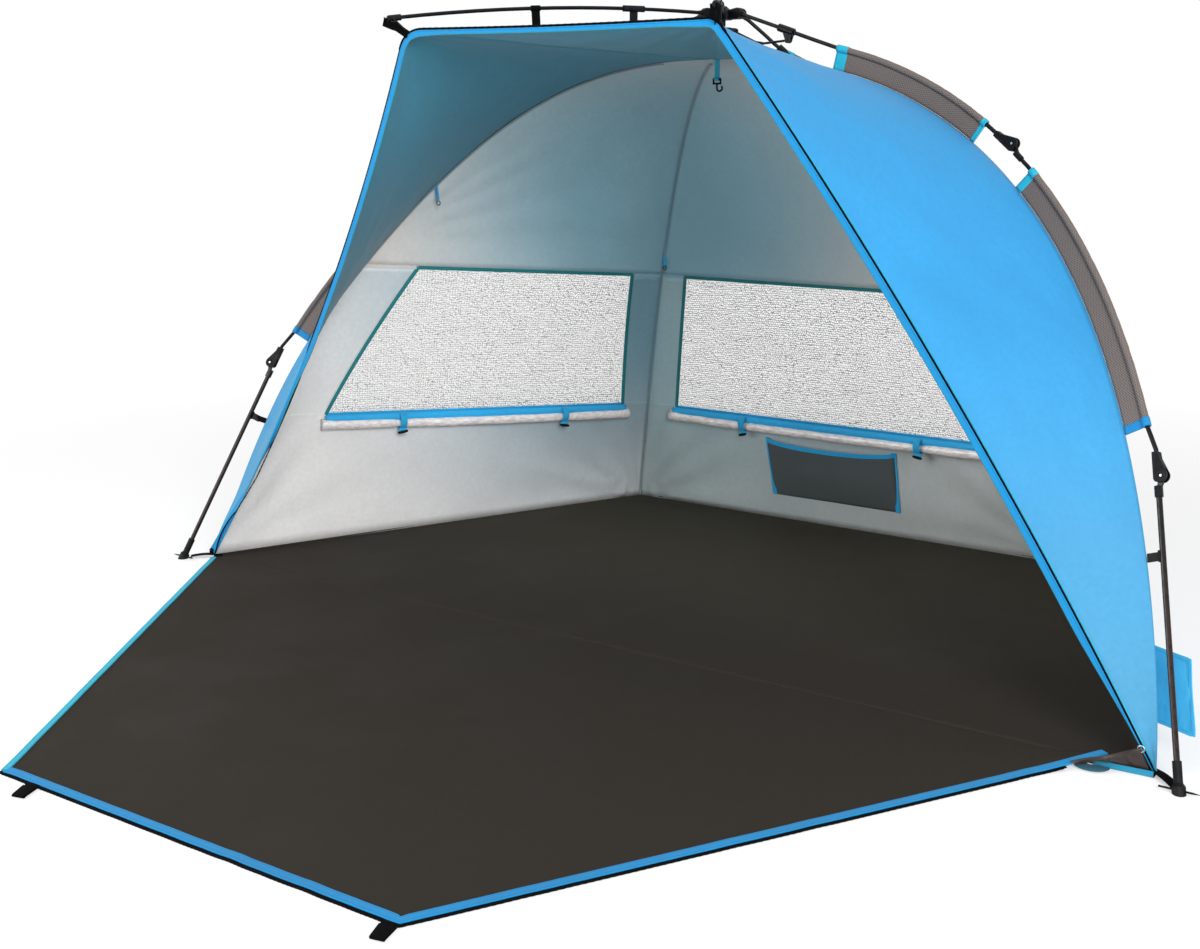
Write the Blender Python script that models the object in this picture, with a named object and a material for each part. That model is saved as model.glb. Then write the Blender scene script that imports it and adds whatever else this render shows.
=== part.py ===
# A pop-up beach tent: a sewn cover on a folding frame with one hub and four jointed legs.
# Metres, +Z up. The origin is on the ground, straight below the cover's apex; the doorway faces -Y.

import math

import bmesh
import bpy
from mathutils import Matrix, Vector
from mathutils.bvhtree import BVHTree

# Plan of the cover on the ground
SILL_HALF_WIDTH = 1.2
SILL_FORWARD = 0.490
BACK_HALF_WIDTH = 0.66
BACK_REACH = 0.700
PORCH_HALF_WIDTH = 0.463
PORCH_DEPTH = 1.138
PORCH_CORNER_CUT = 0.030

# Height and brow of the cover
APEX_HEIGHT = 1.240
BROW_HALF_WIDTH = 0.368
BROW_OVERHANG = 0.140
BROW_RISE = 0.048
BROW_HEIGHT = APEX_HEIGHT + BROW_RISE
OPENING_BOW = 0.066

# Shares that give the two kinds of arch their curve: z = (1 - reach ^ power) ^ roundness
SIDE_ARCH_POWER_SHARE = 2.4
SIDE_ARCH_ROUNDNESS_SHARE = 0.65
SIDE_SWEEP_POWER_SHARE = 4.0
BACK_ARCH_POWER_SHARE = 2.0
BACK_ARCH_ROUNDNESS_SHARE = 1.0
SIDE_ROW_LEAD_SHARE = 0.88

# Cloth
CLOTH = 0.0012
NET = 0.0008
GAP = 0.0003
SEAM_INSET = 0.0009
APEX_TIP_INSET = 0.012
BROW_FOOT_HEIGHT = 0.012
COVER_FOOT_HEIGHT = CLOTH + CLOTH / 2 + GAP
COVER_ROW_COUNT = 14
SEAT_GAP = 0.0007
SEAT_STEP_COUNT = 12

# Windows, as shares of the wall's height and width
WINDOW_BOTTOM_SHARE = 0.245
WINDOW_TOP_SHARE = 0.558
SIDE_WINDOW_FRONT_SHARES = (0.151, 0.176)
SIDE_WINDOW_BACK_SHARES = (0.927, 0.896)
BACK_WINDOW_SHARES = (0.085, 0.915)
SHUTTER_DEPTH = 0.022
SHUTTER_HEIGHT = 0.040
SHUTTER_OVERLAP = 0.008
SHUTTER_SIDE_COUNT = 12
SHUTTER_STATION_COUNT = 12
SHUTTER_END_SHARE = 0.86

# Net pocket on the back wall
POCKET_WIDTH = 0.385
POCKET_DROP = 0.058
POCKET_HEIGHT = 0.171
POCKET_DEPTH = 0.030
POCKET_SAG = 0.010

# Sand pocket outside the right wall
SAND_POCKET_WIDTH = 0.092
SAND_POCKET_HEIGHT = 0.138
SAND_POCKET_THICKNESS = 0.014
SAND_POCKET_BASE = 0.055
SAND_POCKET_SETBACK = 0.120
SAND_POCKET_DROOP = 0.005

# Sleeves that hold the poles off the cover
SLEEVE_WIDTH = 0.045
SLEEVE_CENTRE_HEIGHT = 0.350
UPPER_SLEEVE_SHARES = (0.978, 0.859)
LOWER_SLEEVE_SHARES = (0.789, 0.445)
UPPER_KNUCKLE_SHARE = 0.824
LOWER_KNUCKLE_SHARE = 0.380
SLEEVE_STEP_COUNT = 8

# Poles
POLE_RADIUS = 0.0042
TUBE_RADIUS = 0.0055
FOOT_OUTSET = 0.054
FOOT_FORWARD = 0.056
POLE_SIDE_COUNT = 10

# Knuckles
PIVOT_OFFSET = 0.009
KNUCKLE_NOSE_RADIUS = 0.0120
KNUCKLE_LENGTH = 0.046
KNUCKLE_WALL = 0.0020
KNUCKLE_THICKNESS = 0.0136
KNUCKLE_SLOT = 0.0060
KNUCKLE_SLOT_TOP = 0.0130
KNUCKLE_HEEL_DROP = 0.0090
SOCKET_DEPTH = 0.026
LUG_RADIUS = 0.0075
COLLAR_DROP = 0.0170
COLLAR_LENGTH = 0.020
COLLAR_WALL = 0.0022
PIN_RADIUS = 0.0022

# Feet and ground pins
FERRULE_LENGTH = 0.055
FOOT_SEAT_HEIGHT = 0.0145
FERRULE_WALL = 0.0022
FERRULE_FLARE = 0.0040
FERRULE_FLARE_LENGTH = 0.012
TAB_STOP = 0.0175
FOOT_PIN_RADIUS = 0.0020
FOOT_PIN_LENGTH = 0.070
FOOT_PIN_HEIGHT = 0.0060
FOOT_PIN_POINT = 0.014

# Hub
HUB_RISE = 0.095
HUB_HEIGHT = APEX_HEIGHT + HUB_RISE
HUB_SETBACK = 0.020
HUB_CORE_RADIUS = 0.0220
HUB_CORE_HEIGHT = 0.0200
HUB_CAP_RADIUS = 0.0160
HUB_CAP_HEIGHT = 0.0100
HUB_POST_RADIUS = 0.0070
HUB_ARM_START = 0.0090
HUB_ARM_REACH = 0.0420
HUB_EYE_RADIUS = 0.0115
HUB_CHEEK = 0.0040
HUB_ARM_RISE = 0.0040
RUNNER_DROP = 0.0340
RUNNER_HEIGHT = 0.0160
RUNNER_RADIUS = 0.0190
RUNNER_ARM_REACH = 0.0290
RUNNER_EYE_RADIUS = 0.0065
LINK_GAUGE = 0.0050
LINK_CLEARANCE = 0.0003

# Struts and the brackets on the upper poles
STRUT_RADIUS = 0.0026
BRACKET_REACH = 0.175
BRACKET_LENGTH = 0.040
BRACKET_RADIUS = 0.0085
BRACKET_CLEVIS_DROP = 0.0190
BRACKET_CHEEK = 0.0030
STRUT_KNEE_RADIUS = 0.0055
STRUT_KNEE_REACH = 0.100
STRUT_KNEE_DROP = 0.012
STRUT_POLE_CLEARANCE = 0.003

# Brow poles
BROW_POLE_RADIUS = 0.0040
BROW_POLE_BOW = 0.016
BROW_CAP_RADIUS = 0.0065
BROW_CAP_LENGTH = 0.026
BROW_CAP_RISE = 0.022
BROW_CAP_OUTSET = 0.034
BROW_CLIP_SHARE = 0.245
BROW_CLIP_LENGTH = 0.050
BROW_STRAP_SHARE = 0.560

# Straps and webbing
STRAP_WIDTH = 0.020
STRAP_THICKNESS = 0.0030
LEG_STRAP_HEIGHT = 0.364
LEG_STRAP_GRIP = 0.0030
LOOP_WIDTH = 0.024
LOOP_LENGTH = 0.036
LOOP_SLOT_WIDTH = 0.013
LOOP_SLOT_LENGTH = 0.020
LOOP_SETBACK = 0.020

# Lantern hook
APEX_STRAP_WIDTH = 0.011
APEX_TAB_REACH = 0.024
APEX_STRAP_LENGTH = 0.042
APEX_STRAP_THICKNESS = 0.0030
HOOK_WIRE_RADIUS = 0.0021
HOOK_EYE_CLEARANCE = 0.0008
APEX_STRAP_EYE_RADIUS = HOOK_WIRE_RADIUS + HOOK_EYE_CLEARANCE
HOOK_RING_WIDTH = 0.018
HOOK_RING_HEIGHT = 0.010
HOOK_BEND_RADIUS = 0.0068
HOOK_STEM = 0.010

# One overrun serves every cut that goes right through
OVERRUN = 0.010
CHAMFER = 0.0008

SIDES = {"left": -1.0, "right": 1.0}
LEG_NAMES = ("right", "left", "back_right", "back_left")

MATERIALS = {
    "silver_cloth": ((0.70, 0.69, 0.67), 0.55, 0.0),
    "blue_cloth": ((0.05, 0.36, 0.80), 0.60, 0.0),
    "floor_cloth": ((0.045, 0.040, 0.034), 0.60, 0.0),
    "net": ((0.80, 0.81, 0.80), 0.80, 0.0),
    "pocket_net": ((0.045, 0.050, 0.050), 0.80, 0.0),
    "pole_black": ((0.012, 0.012, 0.013), 0.35, 0.2),
    "tube_bronze": ((0.10, 0.075, 0.065), 0.30, 0.8),
    "plastic_black": ((0.014, 0.014, 0.015), 0.45, 0.0),
    "webbing_black": ((0.015, 0.015, 0.016), 0.85, 0.0),
    "webbing_cyan": ((0.05, 0.55, 0.72), 0.80, 0.0),
}


# Scene and material helpers

def clear_scene():
    for old in list(bpy.data.objects):
        bpy.data.objects.remove(old, do_unlink=True)


def material(name):
    found = bpy.data.materials.get(name)
    if found:
        return found
    colour, roughness, metallic = MATERIALS[name]
    made = bpy.data.materials.new(name)
    made.use_nodes = True
    shader = made.node_tree.nodes["Principled BSDF"]
    shader.inputs["Base Color"].default_value = (*colour, 1.0)
    shader.inputs["Roughness"].default_value = roughness
    shader.inputs["Metallic"].default_value = metallic
    return made


def finish_bmesh(bm, name, material_name, smooth_degrees=35.0):
    bmesh.ops.recalc_face_normals(bm, faces=bm.faces)
    mesh = bpy.data.meshes.new(name)
    bm.to_mesh(mesh)
    bm.free()
    mesh.shade_smooth()
    mesh.set_sharp_from_angle(angle=math.radians(smooth_degrees))
    mesh.materials.append(material(material_name))
    return mesh


def place(name, mesh, matrix=None):
    piece = bpy.data.objects.new(name, mesh)
    bpy.context.scene.collection.objects.link(piece)
    if matrix is not None:
        piece.matrix_world = matrix
    return piece


def combine(target, tool, operation):
    """Joins or cuts target with tool by an exact Boolean, and removes the tool."""
    bpy.context.view_layer.update()
    cut = target.modifiers.new(operation.lower(), "BOOLEAN")
    cut.operation = operation
    cut.solver = "EXACT"
    cut.object = tool
    graph = bpy.context.evaluated_depsgraph_get()
    result = bpy.data.meshes.new_from_object(target.evaluated_get(graph), depsgraph=graph)
    target.modifiers.clear()
    old = target.data
    target.data = result
    result.name = old.name
    bpy.data.meshes.remove(old)
    bpy.data.objects.remove(tool, do_unlink=True)


def unite(target, *tools):
    for tool in tools:
        combine(target, tool, "UNION")


def cut(target, *tools):
    for tool in tools:
        combine(target, tool, "DIFFERENCE")


# Shape helpers

def frame_matrix(origin, x_axis, y_axis, z_axis):
    rows = Matrix((x_axis, y_axis, z_axis)).transposed().to_4x4()
    rows.translation = origin
    return rows


def sweep(points, radii, sides=POLE_SIDE_COUNT, flatten=1.0):
    """A closed tube along points. radii holds one radius for each point."""
    bm = bmesh.new()
    tangents = []
    last = len(points) - 1
    for i in range(len(points)):
        ahead = points[min(i + 1, last)]
        behind = points[max(i - 1, 0)]
        tangents.append((ahead - behind).normalized())
    across = tangents[0].orthogonal().normalized()
    rings = []
    for point, tangent, radius in zip(points, tangents, radii):
        across = (across - tangent * across.dot(tangent)).normalized()
        other = tangent.cross(across)
        ring = []
        for k in range(sides):
            turn = 2 * math.pi * k / sides
            offset = across * math.cos(turn) + other * (math.sin(turn) * flatten)
            ring.append(bm.verts.new(point + offset * radius))
        rings.append(ring)
    for first, second in zip(rings, rings[1:]):
        bmesh.ops.bridge_loops(bm, edges=ring_edges(bm, first) + ring_edges(bm, second))
    for ring in (rings[0], rings[-1]):
        bm.faces.new(ring)
    return bm


def ring_edges(bm, ring):
    edges = []
    for k, vert in enumerate(ring):
        nxt = ring[(k + 1) % len(ring)]
        edges.append(bm.edges.get((vert, nxt)) or bm.edges.new((vert, nxt)))
    return edges


def turned(profile, sides=24):
    """Spins (radius, height) pairs about Z. The profile starts and ends on the axis or is closed."""
    bm = bmesh.new()
    verts = [bm.verts.new((radius, 0.0, height)) for radius, height in profile]
    edges = [bm.edges.new(pair) for pair in zip(verts, verts[1:])]
    if profile[0][0] > 0.0:
        edges.append(bm.edges.new((verts[-1], verts[0])))
    bmesh.ops.spin(bm, geom=verts + edges, cent=(0, 0, 0), axis=(0, 0, 1), angle=2 * math.pi, steps=sides)
    bmesh.ops.remove_doubles(bm, verts=bm.verts, dist=GAP / 10)
    return bm


def plate(outline, thickness, axis="Y"):
    """Extrudes a flat outline of (x, z) pairs by thickness, centred on its plane."""
    bm = bmesh.new()
    half = thickness / 2
    verts = []
    for across, up in outline:
        corner = (across, -half, up) if axis == "Y" else (across, up, 0.0)
        verts.append(bm.verts.new(corner))
    face = bm.faces.new(verts)
    push = Vector((0, thickness, 0)) if axis == "Y" else Vector((0, 0, thickness))
    grown = bmesh.ops.extrude_face_region(bm, geom=[face])
    moved = [item for item in grown["geom"] if isinstance(item, bmesh.types.BMVert)]
    bmesh.ops.translate(bm, verts=moved, vec=push)
    return bm


def arc(centre, radius, start, end, steps):
    """Points of an arc in (x, z), from start to end in degrees."""
    points = []
    for k in range(steps + 1):
        turn = math.radians(start + (end - start) * k / steps)
        points.append((centre[0] + radius * math.cos(turn), centre[1] + radius * math.sin(turn)))
    return points


def rod(name, start, end, radius, material_name="pole_black", sides=POLE_SIDE_COUNT):
    mesh = finish_bmesh(sweep([Vector(start), Vector(end)], [radius, radius], sides), name, material_name)
    return place(name, mesh)


def block(name, outline, thickness, material_name, matrix=None):
    return place(name, finish_bmesh(plate(outline, thickness), name, material_name), matrix)


# Curves of the cover

def arch_reach(height_share, power, roundness):
    """Share of an arch's reach at a share of its height."""
    return (1.0 - height_share ** (1.0 / roundness)) ** (1.0 / power)


def side_seam(side, height_share):
    reach = arch_reach(height_share, SIDE_ARCH_POWER_SHARE, SIDE_ARCH_ROUNDNESS_SHARE)
    swept = reach ** SIDE_SWEEP_POWER_SHARE
    return Vector((side * SILL_HALF_WIDTH * reach, -SILL_FORWARD * swept, APEX_HEIGHT * height_share))


def back_seam(side, height_share):
    reach = arch_reach(height_share, BACK_ARCH_POWER_SHARE, BACK_ARCH_ROUNDNESS_SHARE)
    return Vector((side * BACK_HALF_WIDTH * reach, BACK_REACH * reach, APEX_HEIGHT * height_share))


def opening_edge(side, share):
    """The doorway's side edge, from the sill corner up to the brow corner."""
    bow = 4 * OPENING_BOW * share * (1 - share)
    x = SILL_HALF_WIDTH + (BROW_HALF_WIDTH - SILL_HALF_WIDTH) * share
    return Vector((side * x, -SILL_FORWARD - BROW_OVERHANG * share + bow, BROW_HEIGHT * share))


def cover_rows():
    """Heights of the cover's cross rows, as shares: close together near the apex."""
    first = COVER_FOOT_HEIGHT / APEX_HEIGHT
    shares = [max(math.sin(math.pi / 2 * k / COVER_ROW_COUNT), first) for k in range(COVER_ROW_COUNT + 1)]
    clear = 0.5 / COVER_ROW_COUNT
    for edge in (WINDOW_BOTTOM_SHARE, WINDOW_TOP_SHARE):
        shares = [share for share in shares if abs(share - edge) > clear] + [edge]
    return sorted(shares)


def side_row(share):
    """The side seam's share for a row that meets the back seam at this share."""
    return share ** SIDE_ROW_LEAD_SHARE


def wall_share(height):
    """The row's share at which a side wall has this height beside the leg's seam."""
    return (height / APEX_HEIGHT) ** (1 / SIDE_ROW_LEAD_SHARE)


def window_sides(share, front_shares, back_shares):
    rise = (share - WINDOW_BOTTOM_SHARE) / (WINDOW_TOP_SHARE - WINDOW_BOTTOM_SHARE)
    rise = min(max(rise, 0.0), 1.0)
    low = front_shares[0] + (front_shares[1] - front_shares[0]) * rise
    high = back_shares[0] + (back_shares[1] - back_shares[0]) * rise
    return low, high


def wall_columns(low, high):
    third = (high - low) / 3
    return (0.0, low / 2, low, low + third, high - third, high, (1.0 + high) / 2, 1.0)


def wall_curves(which):
    """The wall's two upright seams as functions of a row's share, and its window's side shares."""
    if which == "back":
        low, high = BACK_WINDOW_SHARES
        front = lambda share: back_seam(SIDES["left"], share)
        back = lambda share: back_seam(SIDES["right"], share)
        return front, back, (low, low), (high, high)
    side = SIDES[which]
    front = lambda share: side_seam(side, side_row(share))
    back = lambda share: back_seam(side, share)
    return front, back, SIDE_WINDOW_FRONT_SHARES, SIDE_WINDOW_BACK_SHARES


def wall_point(which, across, share):
    front, back, _, _ = wall_curves(which)
    return front(share).lerp(back(share), across)


def inset_edge(grid, row, column, inner_row, inner_column, distance):
    """The grid point moved from the edge towards its inner neighbour."""
    here = grid[row][column]
    pull = grid[inner_row][inner_column] - here
    return here + pull.normalized() * min(distance, pull.length / 2)


def inset_grid(grid, start=0.0, end=0.0, top=0.0, bottom=0.0):
    """Draws the sides of a grid of points in by the given distances."""
    rows = [list(row) for row in grid]
    last = len(rows) - 1
    for j in range(len(rows[0])):
        if bottom:
            rows[0][j] = inset_edge(grid, 0, j, 1, j, bottom)
        if top:
            rows[last][j] = inset_edge(grid, last, j, last - 1, j, top)
    drawn = [list(row) for row in rows]
    edge = len(rows[0]) - 1
    for i in range(len(rows)):
        if start:
            drawn[i][0] = inset_edge(rows, i, 0, i, 1, start)
        if end:
            drawn[i][edge] = inset_edge(rows, i, edge, i, edge - 1, end)
    return drawn


def cloth_panel(name, grid, thickness, material_name, hole=None):
    """A thin closed panel from a grid of points. hole(i, j) says which faces are left out."""
    bm = bmesh.new()
    verts = [[bm.verts.new(point) for point in row] for row in grid]
    for i in range(len(grid) - 1):
        for j in range(len(grid[0]) - 1):
            if hole and hole(i, j):
                continue
            bm.faces.new((verts[i][j], verts[i][j + 1], verts[i + 1][j + 1], verts[i + 1][j]))
    loose = [vert for vert in bm.verts if not vert.link_faces]
    bmesh.ops.delete(bm, geom=loose, context="VERTS")
    bmesh.ops.triangulate(bm, faces=bm.faces)
    piece = place(name, finish_bmesh(bm, name, material_name))
    thicken = piece.modifiers.new("cloth", "SOLIDIFY")
    thicken.thickness = thickness
    thicken.offset = 0.0
    thicken.use_even_offset = True
    return piece


def apply_modifiers(piece):
    graph = bpy.context.evaluated_depsgraph_get()
    result = bpy.data.meshes.new_from_object(piece.evaluated_get(graph), depsgraph=graph)
    piece.modifiers.clear()
    piece.data = result


def mesh_tree(piece):
    graph = bpy.context.evaluated_depsgraph_get()
    shape = piece.evaluated_get(graph)
    points = [piece.matrix_world @ vert.co for vert in shape.data.vertices]
    faces = [tuple(face.vertices) for face in shape.data.polygons]
    return points, BVHTree.FromPolygons(points, faces)


def smallest_gap(one, other):
    bpy.context.view_layer.update()
    one_points, one_tree = mesh_tree(one)
    other_points, other_tree = mesh_tree(other)
    gaps = [other_tree.find_nearest(point)[3] for point in one_points]
    gaps += [one_tree.find_nearest(point)[3] for point in other_points]
    return min(gaps)


def seat(piece, carrier, heading):
    """Moves a piece along a heading until it lies one clearance from its carrier."""
    for _ in range(SEAT_STEP_COUNT):
        piece.location += heading * (smallest_gap(piece, carrier) - SEAT_GAP)


# Walls, windows and what hangs on them

def make_wall(which):
    front, back, front_shares, back_shares = wall_curves(which)
    rows = cover_rows()
    grid = []
    for share in rows:
        low, high = window_sides(share, front_shares, back_shares)
        start, end = front(share), back(share)
        grid.append([start.lerp(end, column) for column in wall_columns(low, high)])
    first = rows.index(WINDOW_BOTTOM_SHARE)
    last = rows.index(WINDOW_TOP_SHARE)
    grid = inset_grid(grid, SEAM_INSET, SEAM_INSET, APEX_TIP_INSET)
    in_window = lambda i, j: first <= i < last and 2 <= j < 5
    cloth_panel(which + "_wall", grid, CLOTH, "silver_cloth", in_window)
    net = [row[2:6] for row in grid[first:last + 1]]
    net = inset_grid(net, GAP, GAP, GAP, GAP)
    cloth_panel("window_net_" + which, net, NET, "net")


def wall_normal(which, across, share):
    """The wall's normal, pointing into the tent."""
    step = 1.0 / (4 * COVER_ROW_COUNT)
    here = wall_point(which, across, share)
    along = wall_point(which, across + step, share) - here
    upward = wall_point(which, across, share + step) - here
    normal = along.cross(upward).normalized()
    inward = Vector((0, 0, APEX_HEIGHT / 3)) - here
    return normal if normal.dot(inward) > 0 else -normal


def make_shutter(which):
    """The rolled-up window cover that lies along the window's lower edge, inside the wall."""
    _, _, front_shares, back_shares = wall_curves(which)
    low, high = window_sides(WINDOW_BOTTOM_SHARE, front_shares, back_shares)
    ends = []
    half_depth = SHUTTER_DEPTH / 2
    for across in (low, high):
        edge = wall_point(which, across, WINDOW_BOTTOM_SHARE)
        normal = wall_normal(which, across, WINDOW_BOTTOM_SHARE)
        stand_off = CLOTH + SHUTTER_DEPTH
        ends.append(edge + normal * stand_off)
    along = (ends[1] - ends[0]).normalized()
    normal = wall_normal(which, (low + high) / 2, WINDOW_BOTTOM_SHARE)
    normal = (normal - along * normal.dot(along)).normalized()
    upward = along.cross(normal)
    if upward.z < 0:
        upward = -upward
    half_height = SHUTTER_HEIGHT / 2
    drop = upward * (half_height - SHUTTER_OVERLAP)
    centre = (ends[0] + ends[1]) / 2 - drop
    half_length = (ends[1] - ends[0]).length / 2 + SHUTTER_OVERLAP
    bm = bmesh.new()
    rings = []
    steps = SHUTTER_STATION_COUNT
    sizes = [(2 * k / steps - 1.0, 1.0) for k in range(1, steps)]
    for reach, size in [(-1.0, SHUTTER_END_SHARE)] + sizes + [(1.0, SHUTTER_END_SHARE)]:
        ring = []
        for k in range(SHUTTER_SIDE_COUNT):
            turn = 2 * math.pi * k / SHUTTER_SIDE_COUNT
            out = normal * (half_depth * math.cos(turn)) + upward * (half_height * math.sin(turn))
            ring.append(bm.verts.new(centre + along * (half_length * reach) + out * size))
        rings.append(ring)
    for one, two in zip(rings, rings[1:]):
        bmesh.ops.bridge_loops(bm, edges=ring_edges(bm, one) + ring_edges(bm, two))
    bm.faces.new(rings[0])
    bm.faces.new(rings[-1])
    roll = place("window_shutter_" + which, finish_bmesh(bm, "window_shutter_" + which, "silver_cloth"))
    seat(roll, bpy.data.objects[which + "_wall"], -normal)


def make_net_pocket():
    """An open-topped pocket: its front bulges from the back wall, its sides and foot lie on it."""
    columns, rows = 8, 5
    top = APEX_HEIGHT * WINDOW_BOTTOM_SHARE - POCKET_DROP
    grid = []
    for i in range(rows + 1):
        rise = i / rows
        height = top - POCKET_HEIGHT * (1.0 - rise)
        row = []
        for j in range(columns + 1):
            across = 2 * j / columns - 1
            sag = POCKET_SAG * rise * (1 - across * across)
            share = (height - sag) / APEX_HEIGHT
            half_wall = back_seam(1.0, share).x
            wall_share = 0.5 + across * POCKET_WIDTH / 2 / (2 * half_wall)
            foot = wall_point("back", wall_share, share)
            normal = wall_normal("back", wall_share, share)
            bulge = math.sqrt(max(1 - across ** 4, 0.0)) * math.sin(math.pi / 2 * min(1.0, 1.6 * rise))
            row.append(foot + normal * (CLOTH / 2 + GAP + CLOTH / 2 + POCKET_DEPTH * bulge))
        grid.append(row)
    cloth_panel("net_pocket", grid, NET, "pocket_net")


def make_sand_pocket():
    """A filled pouch, sewn by one edge to the foot of the right wall, that stands out beside the leg."""
    middle = wall_share(SAND_POCKET_BASE + SAND_POCKET_HEIGHT / 2)
    run = (wall_point("right", 1.0, middle) - wall_point("right", 0.0, middle)).length
    across = SAND_POCKET_SETBACK / run
    out = -wall_normal("right", across, middle)
    out = Vector((out.x, out.y, 0.0)).normalized()
    forward = Vector((out.y, -out.x, 0.0))
    heading = (out + forward).normalized()
    side = Vector((heading.y, -heading.x, 0.0))
    heights = [SAND_POCKET_BASE + SAND_POCKET_HEIGHT * share for share in (0.0, 0.5, 1.0)]
    roots = [wall_point("right", across, wall_share(height)) for height in heights]
    half = SAND_POCKET_THICKNESS / 2
    stations = (
        (0.0, CLOTH / 2), (SAND_POCKET_WIDTH * 0.3, half), (SAND_POCKET_WIDTH - half, half),
        (SAND_POCKET_WIDTH, half / 2),
    )
    bm = bmesh.new()
    rings = []
    for reach, depth in stations:
        droop = Vector((0, 0, SAND_POCKET_DROOP * reach / SAND_POCKET_WIDTH))
        line = [root + heading * (reach + SAND_POCKET_THICKNESS) - droop for root in roots]
        ring = [bm.verts.new(point - side * depth) for point in line]
        ring += [bm.verts.new(point + side * depth) for point in reversed(line)]
        rings.append(ring)
    for one, two in zip(rings, rings[1:]):
        bmesh.ops.bridge_loops(bm, edges=ring_edges(bm, one) + ring_edges(bm, two))
    for ring in (rings[0], rings[-1]):
        bm.faces.new(ring)
    pouch = place("sand_pocket", finish_bmesh(bm, "sand_pocket", "blue_cloth"))
    seat(pouch, bpy.data.objects["right_wall"], -heading)


# Brow

def brow_row(side, share, columns):
    start = opening_edge(side, share)
    end = side_seam(side, share)
    return [start.lerp(end, j / columns) for j in range(columns + 1)]


def make_brow_side(which):
    """The panel between the doorway's edge and the leg's seam."""
    side = SIDES[which]
    columns = 6
    shares = [side_row(share) for share in cover_rows()]
    shares = [share for share in shares if share * APEX_HEIGHT > 2 * BROW_FOOT_HEIGHT]
    shares.insert(0, BROW_FOOT_HEIGHT / APEX_HEIGHT)
    grid = [brow_row(side, share, columns) for share in shares]
    grid = inset_grid(grid, 0.0, SEAM_INSET)
    brow_line = grid[-1][0] - grid[-1][-1]
    grid[-1][-1] = grid[-1][-1] + brow_line.normalized() * (APEX_TIP_INSET / 2)
    cloth_panel("brow_" + which, grid, CLOTH, "blue_cloth")


def make_brow_front():
    """The triangle between the two brow corners and the apex."""
    rows, columns = 6, 8
    apex = Vector((0, 0, APEX_HEIGHT))
    grid = []
    for i in range(rows + 1):
        share = i / rows
        ends = [opening_edge(side, 1.0).lerp(apex, share) for side in (-1.0, 1.0)]
        grid.append([ends[0].lerp(ends[1], j / columns) for j in range(columns + 1)])
    grid = inset_grid(grid, SEAM_INSET, SEAM_INSET, APEX_TIP_INSET)
    cloth_panel("brow_front", grid, CLOTH, "blue_cloth")


# Ground sheet and porch

def foot_point(name):
    return LEGS[name]["foot"]


def strap_tab(corner, target, stop):
    """The two tip points of a webbing tab that runs from a corner towards a foot."""
    heading = Vector((target.x - corner.x, target.y - corner.y, 0.0))
    length = heading.length - stop
    heading.normalize()
    sideways = Vector((-heading.y, heading.x, 0.0)) * (STRAP_WIDTH / 2)
    tip = corner + heading * length
    return tip + sideways, tip - sideways


def make_floor():
    """The ground sheet with a webbing tab at each corner that reaches the foot of its leg."""
    sill_y = -SILL_FORWARD
    corners = (
        ("left", Vector((-SILL_HALF_WIDTH, sill_y, 0.0))),
        ("right", Vector((SILL_HALF_WIDTH, sill_y, 0.0))),
        ("back_right", Vector((BACK_HALF_WIDTH, BACK_REACH, 0.0))),
        ("back_left", Vector((-BACK_HALF_WIDTH, BACK_REACH, 0.0))),
    )
    outline = []
    for k, (name, corner) in enumerate(corners):
        before = (corners[k - 1][1] - corner).normalized()
        after = (corners[(k + 1) % 4][1] - corner).normalized()
        right_tip, left_tip = strap_tab(corner, foot_point(name), TAB_STOP)
        for point in (corner + before * STRAP_WIDTH, left_tip, right_tip, corner + after * STRAP_WIDTH):
            outline.append((point.x, point.y))
    place("floor", finish_bmesh(plate(outline, CLOTH, "Z"), "floor", "floor_cloth"))


def make_porch():
    """The porch sheet, hinged along the sill, with a stake loop at each front corner."""
    sill_y = -GAP
    front_y = -PORCH_DEPTH
    sill_x = SILL_HALF_WIDTH - PORCH_CORNER_CUT
    loop_x = PORCH_HALF_WIDTH - LOOP_SETBACK
    half = LOOP_WIDTH / 2
    tip_y = front_y - LOOP_LENGTH
    right = [
        (loop_x - half, front_y), (loop_x - half, tip_y), (loop_x + half, tip_y), (loop_x + half, front_y),
        (PORCH_HALF_WIDTH, front_y), (sill_x, sill_y),
    ]
    left = [(-x, y) for x, y in reversed(right)]
    mesh = finish_bmesh(plate(left + right, CLOTH, "Z"), "porch", "floor_cloth")
    pivot = Matrix.Translation((0.0, -SILL_FORWARD, CLOTH))
    mesh.transform(Matrix.Translation((0.0, 0.0, -CLOTH)))
    porch = place("porch", mesh, pivot)
    slot_start = front_y - (LOOP_LENGTH - LOOP_SLOT_LENGTH) / 2
    for side in (-1.0, 1.0):
        slot = []
        for x, y in ((-1, 0), (1, 0), (1, -1), (-1, -1)):
            slot.append((side * loop_x + x * LOOP_SLOT_WIDTH / 2, slot_start + y * LOOP_SLOT_LENGTH))
        tool = place("loop_slot", finish_bmesh(plate(slot, 2 * OVERRUN, "Z"), "loop_slot", "floor_cloth"))
        tool.matrix_world = pivot @ Matrix.Translation((0.0, 0.0, -OVERRUN))
        cut(porch, tool)


# Legs: the line that a pole follows

def seam_of(name):
    if name in SIDES:
        return lambda share: side_seam(SIDES[name], share)
    side = SIDES[name.split("_")[1]]
    return lambda share: back_seam(side, share)


def outward(seam, share):
    """Square to the seam, away from the inside of the tent."""
    step = 1.0 / (8 * COVER_ROW_COUNT)
    tangent = (seam(min(share + step, 1.0)) - seam(share - step)).normalized()
    away = seam(share) - Vector((0, 0, SLEEVE_CENTRE_HEIGHT))
    return (away - tangent * away.dot(tangent)).normalized()


def pole_line(seam, share):
    """A point of the pole's axis, held off the cover by the sleeve."""
    return seam(share) + outward(seam, share) * SLEEVE_WIDTH


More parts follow.
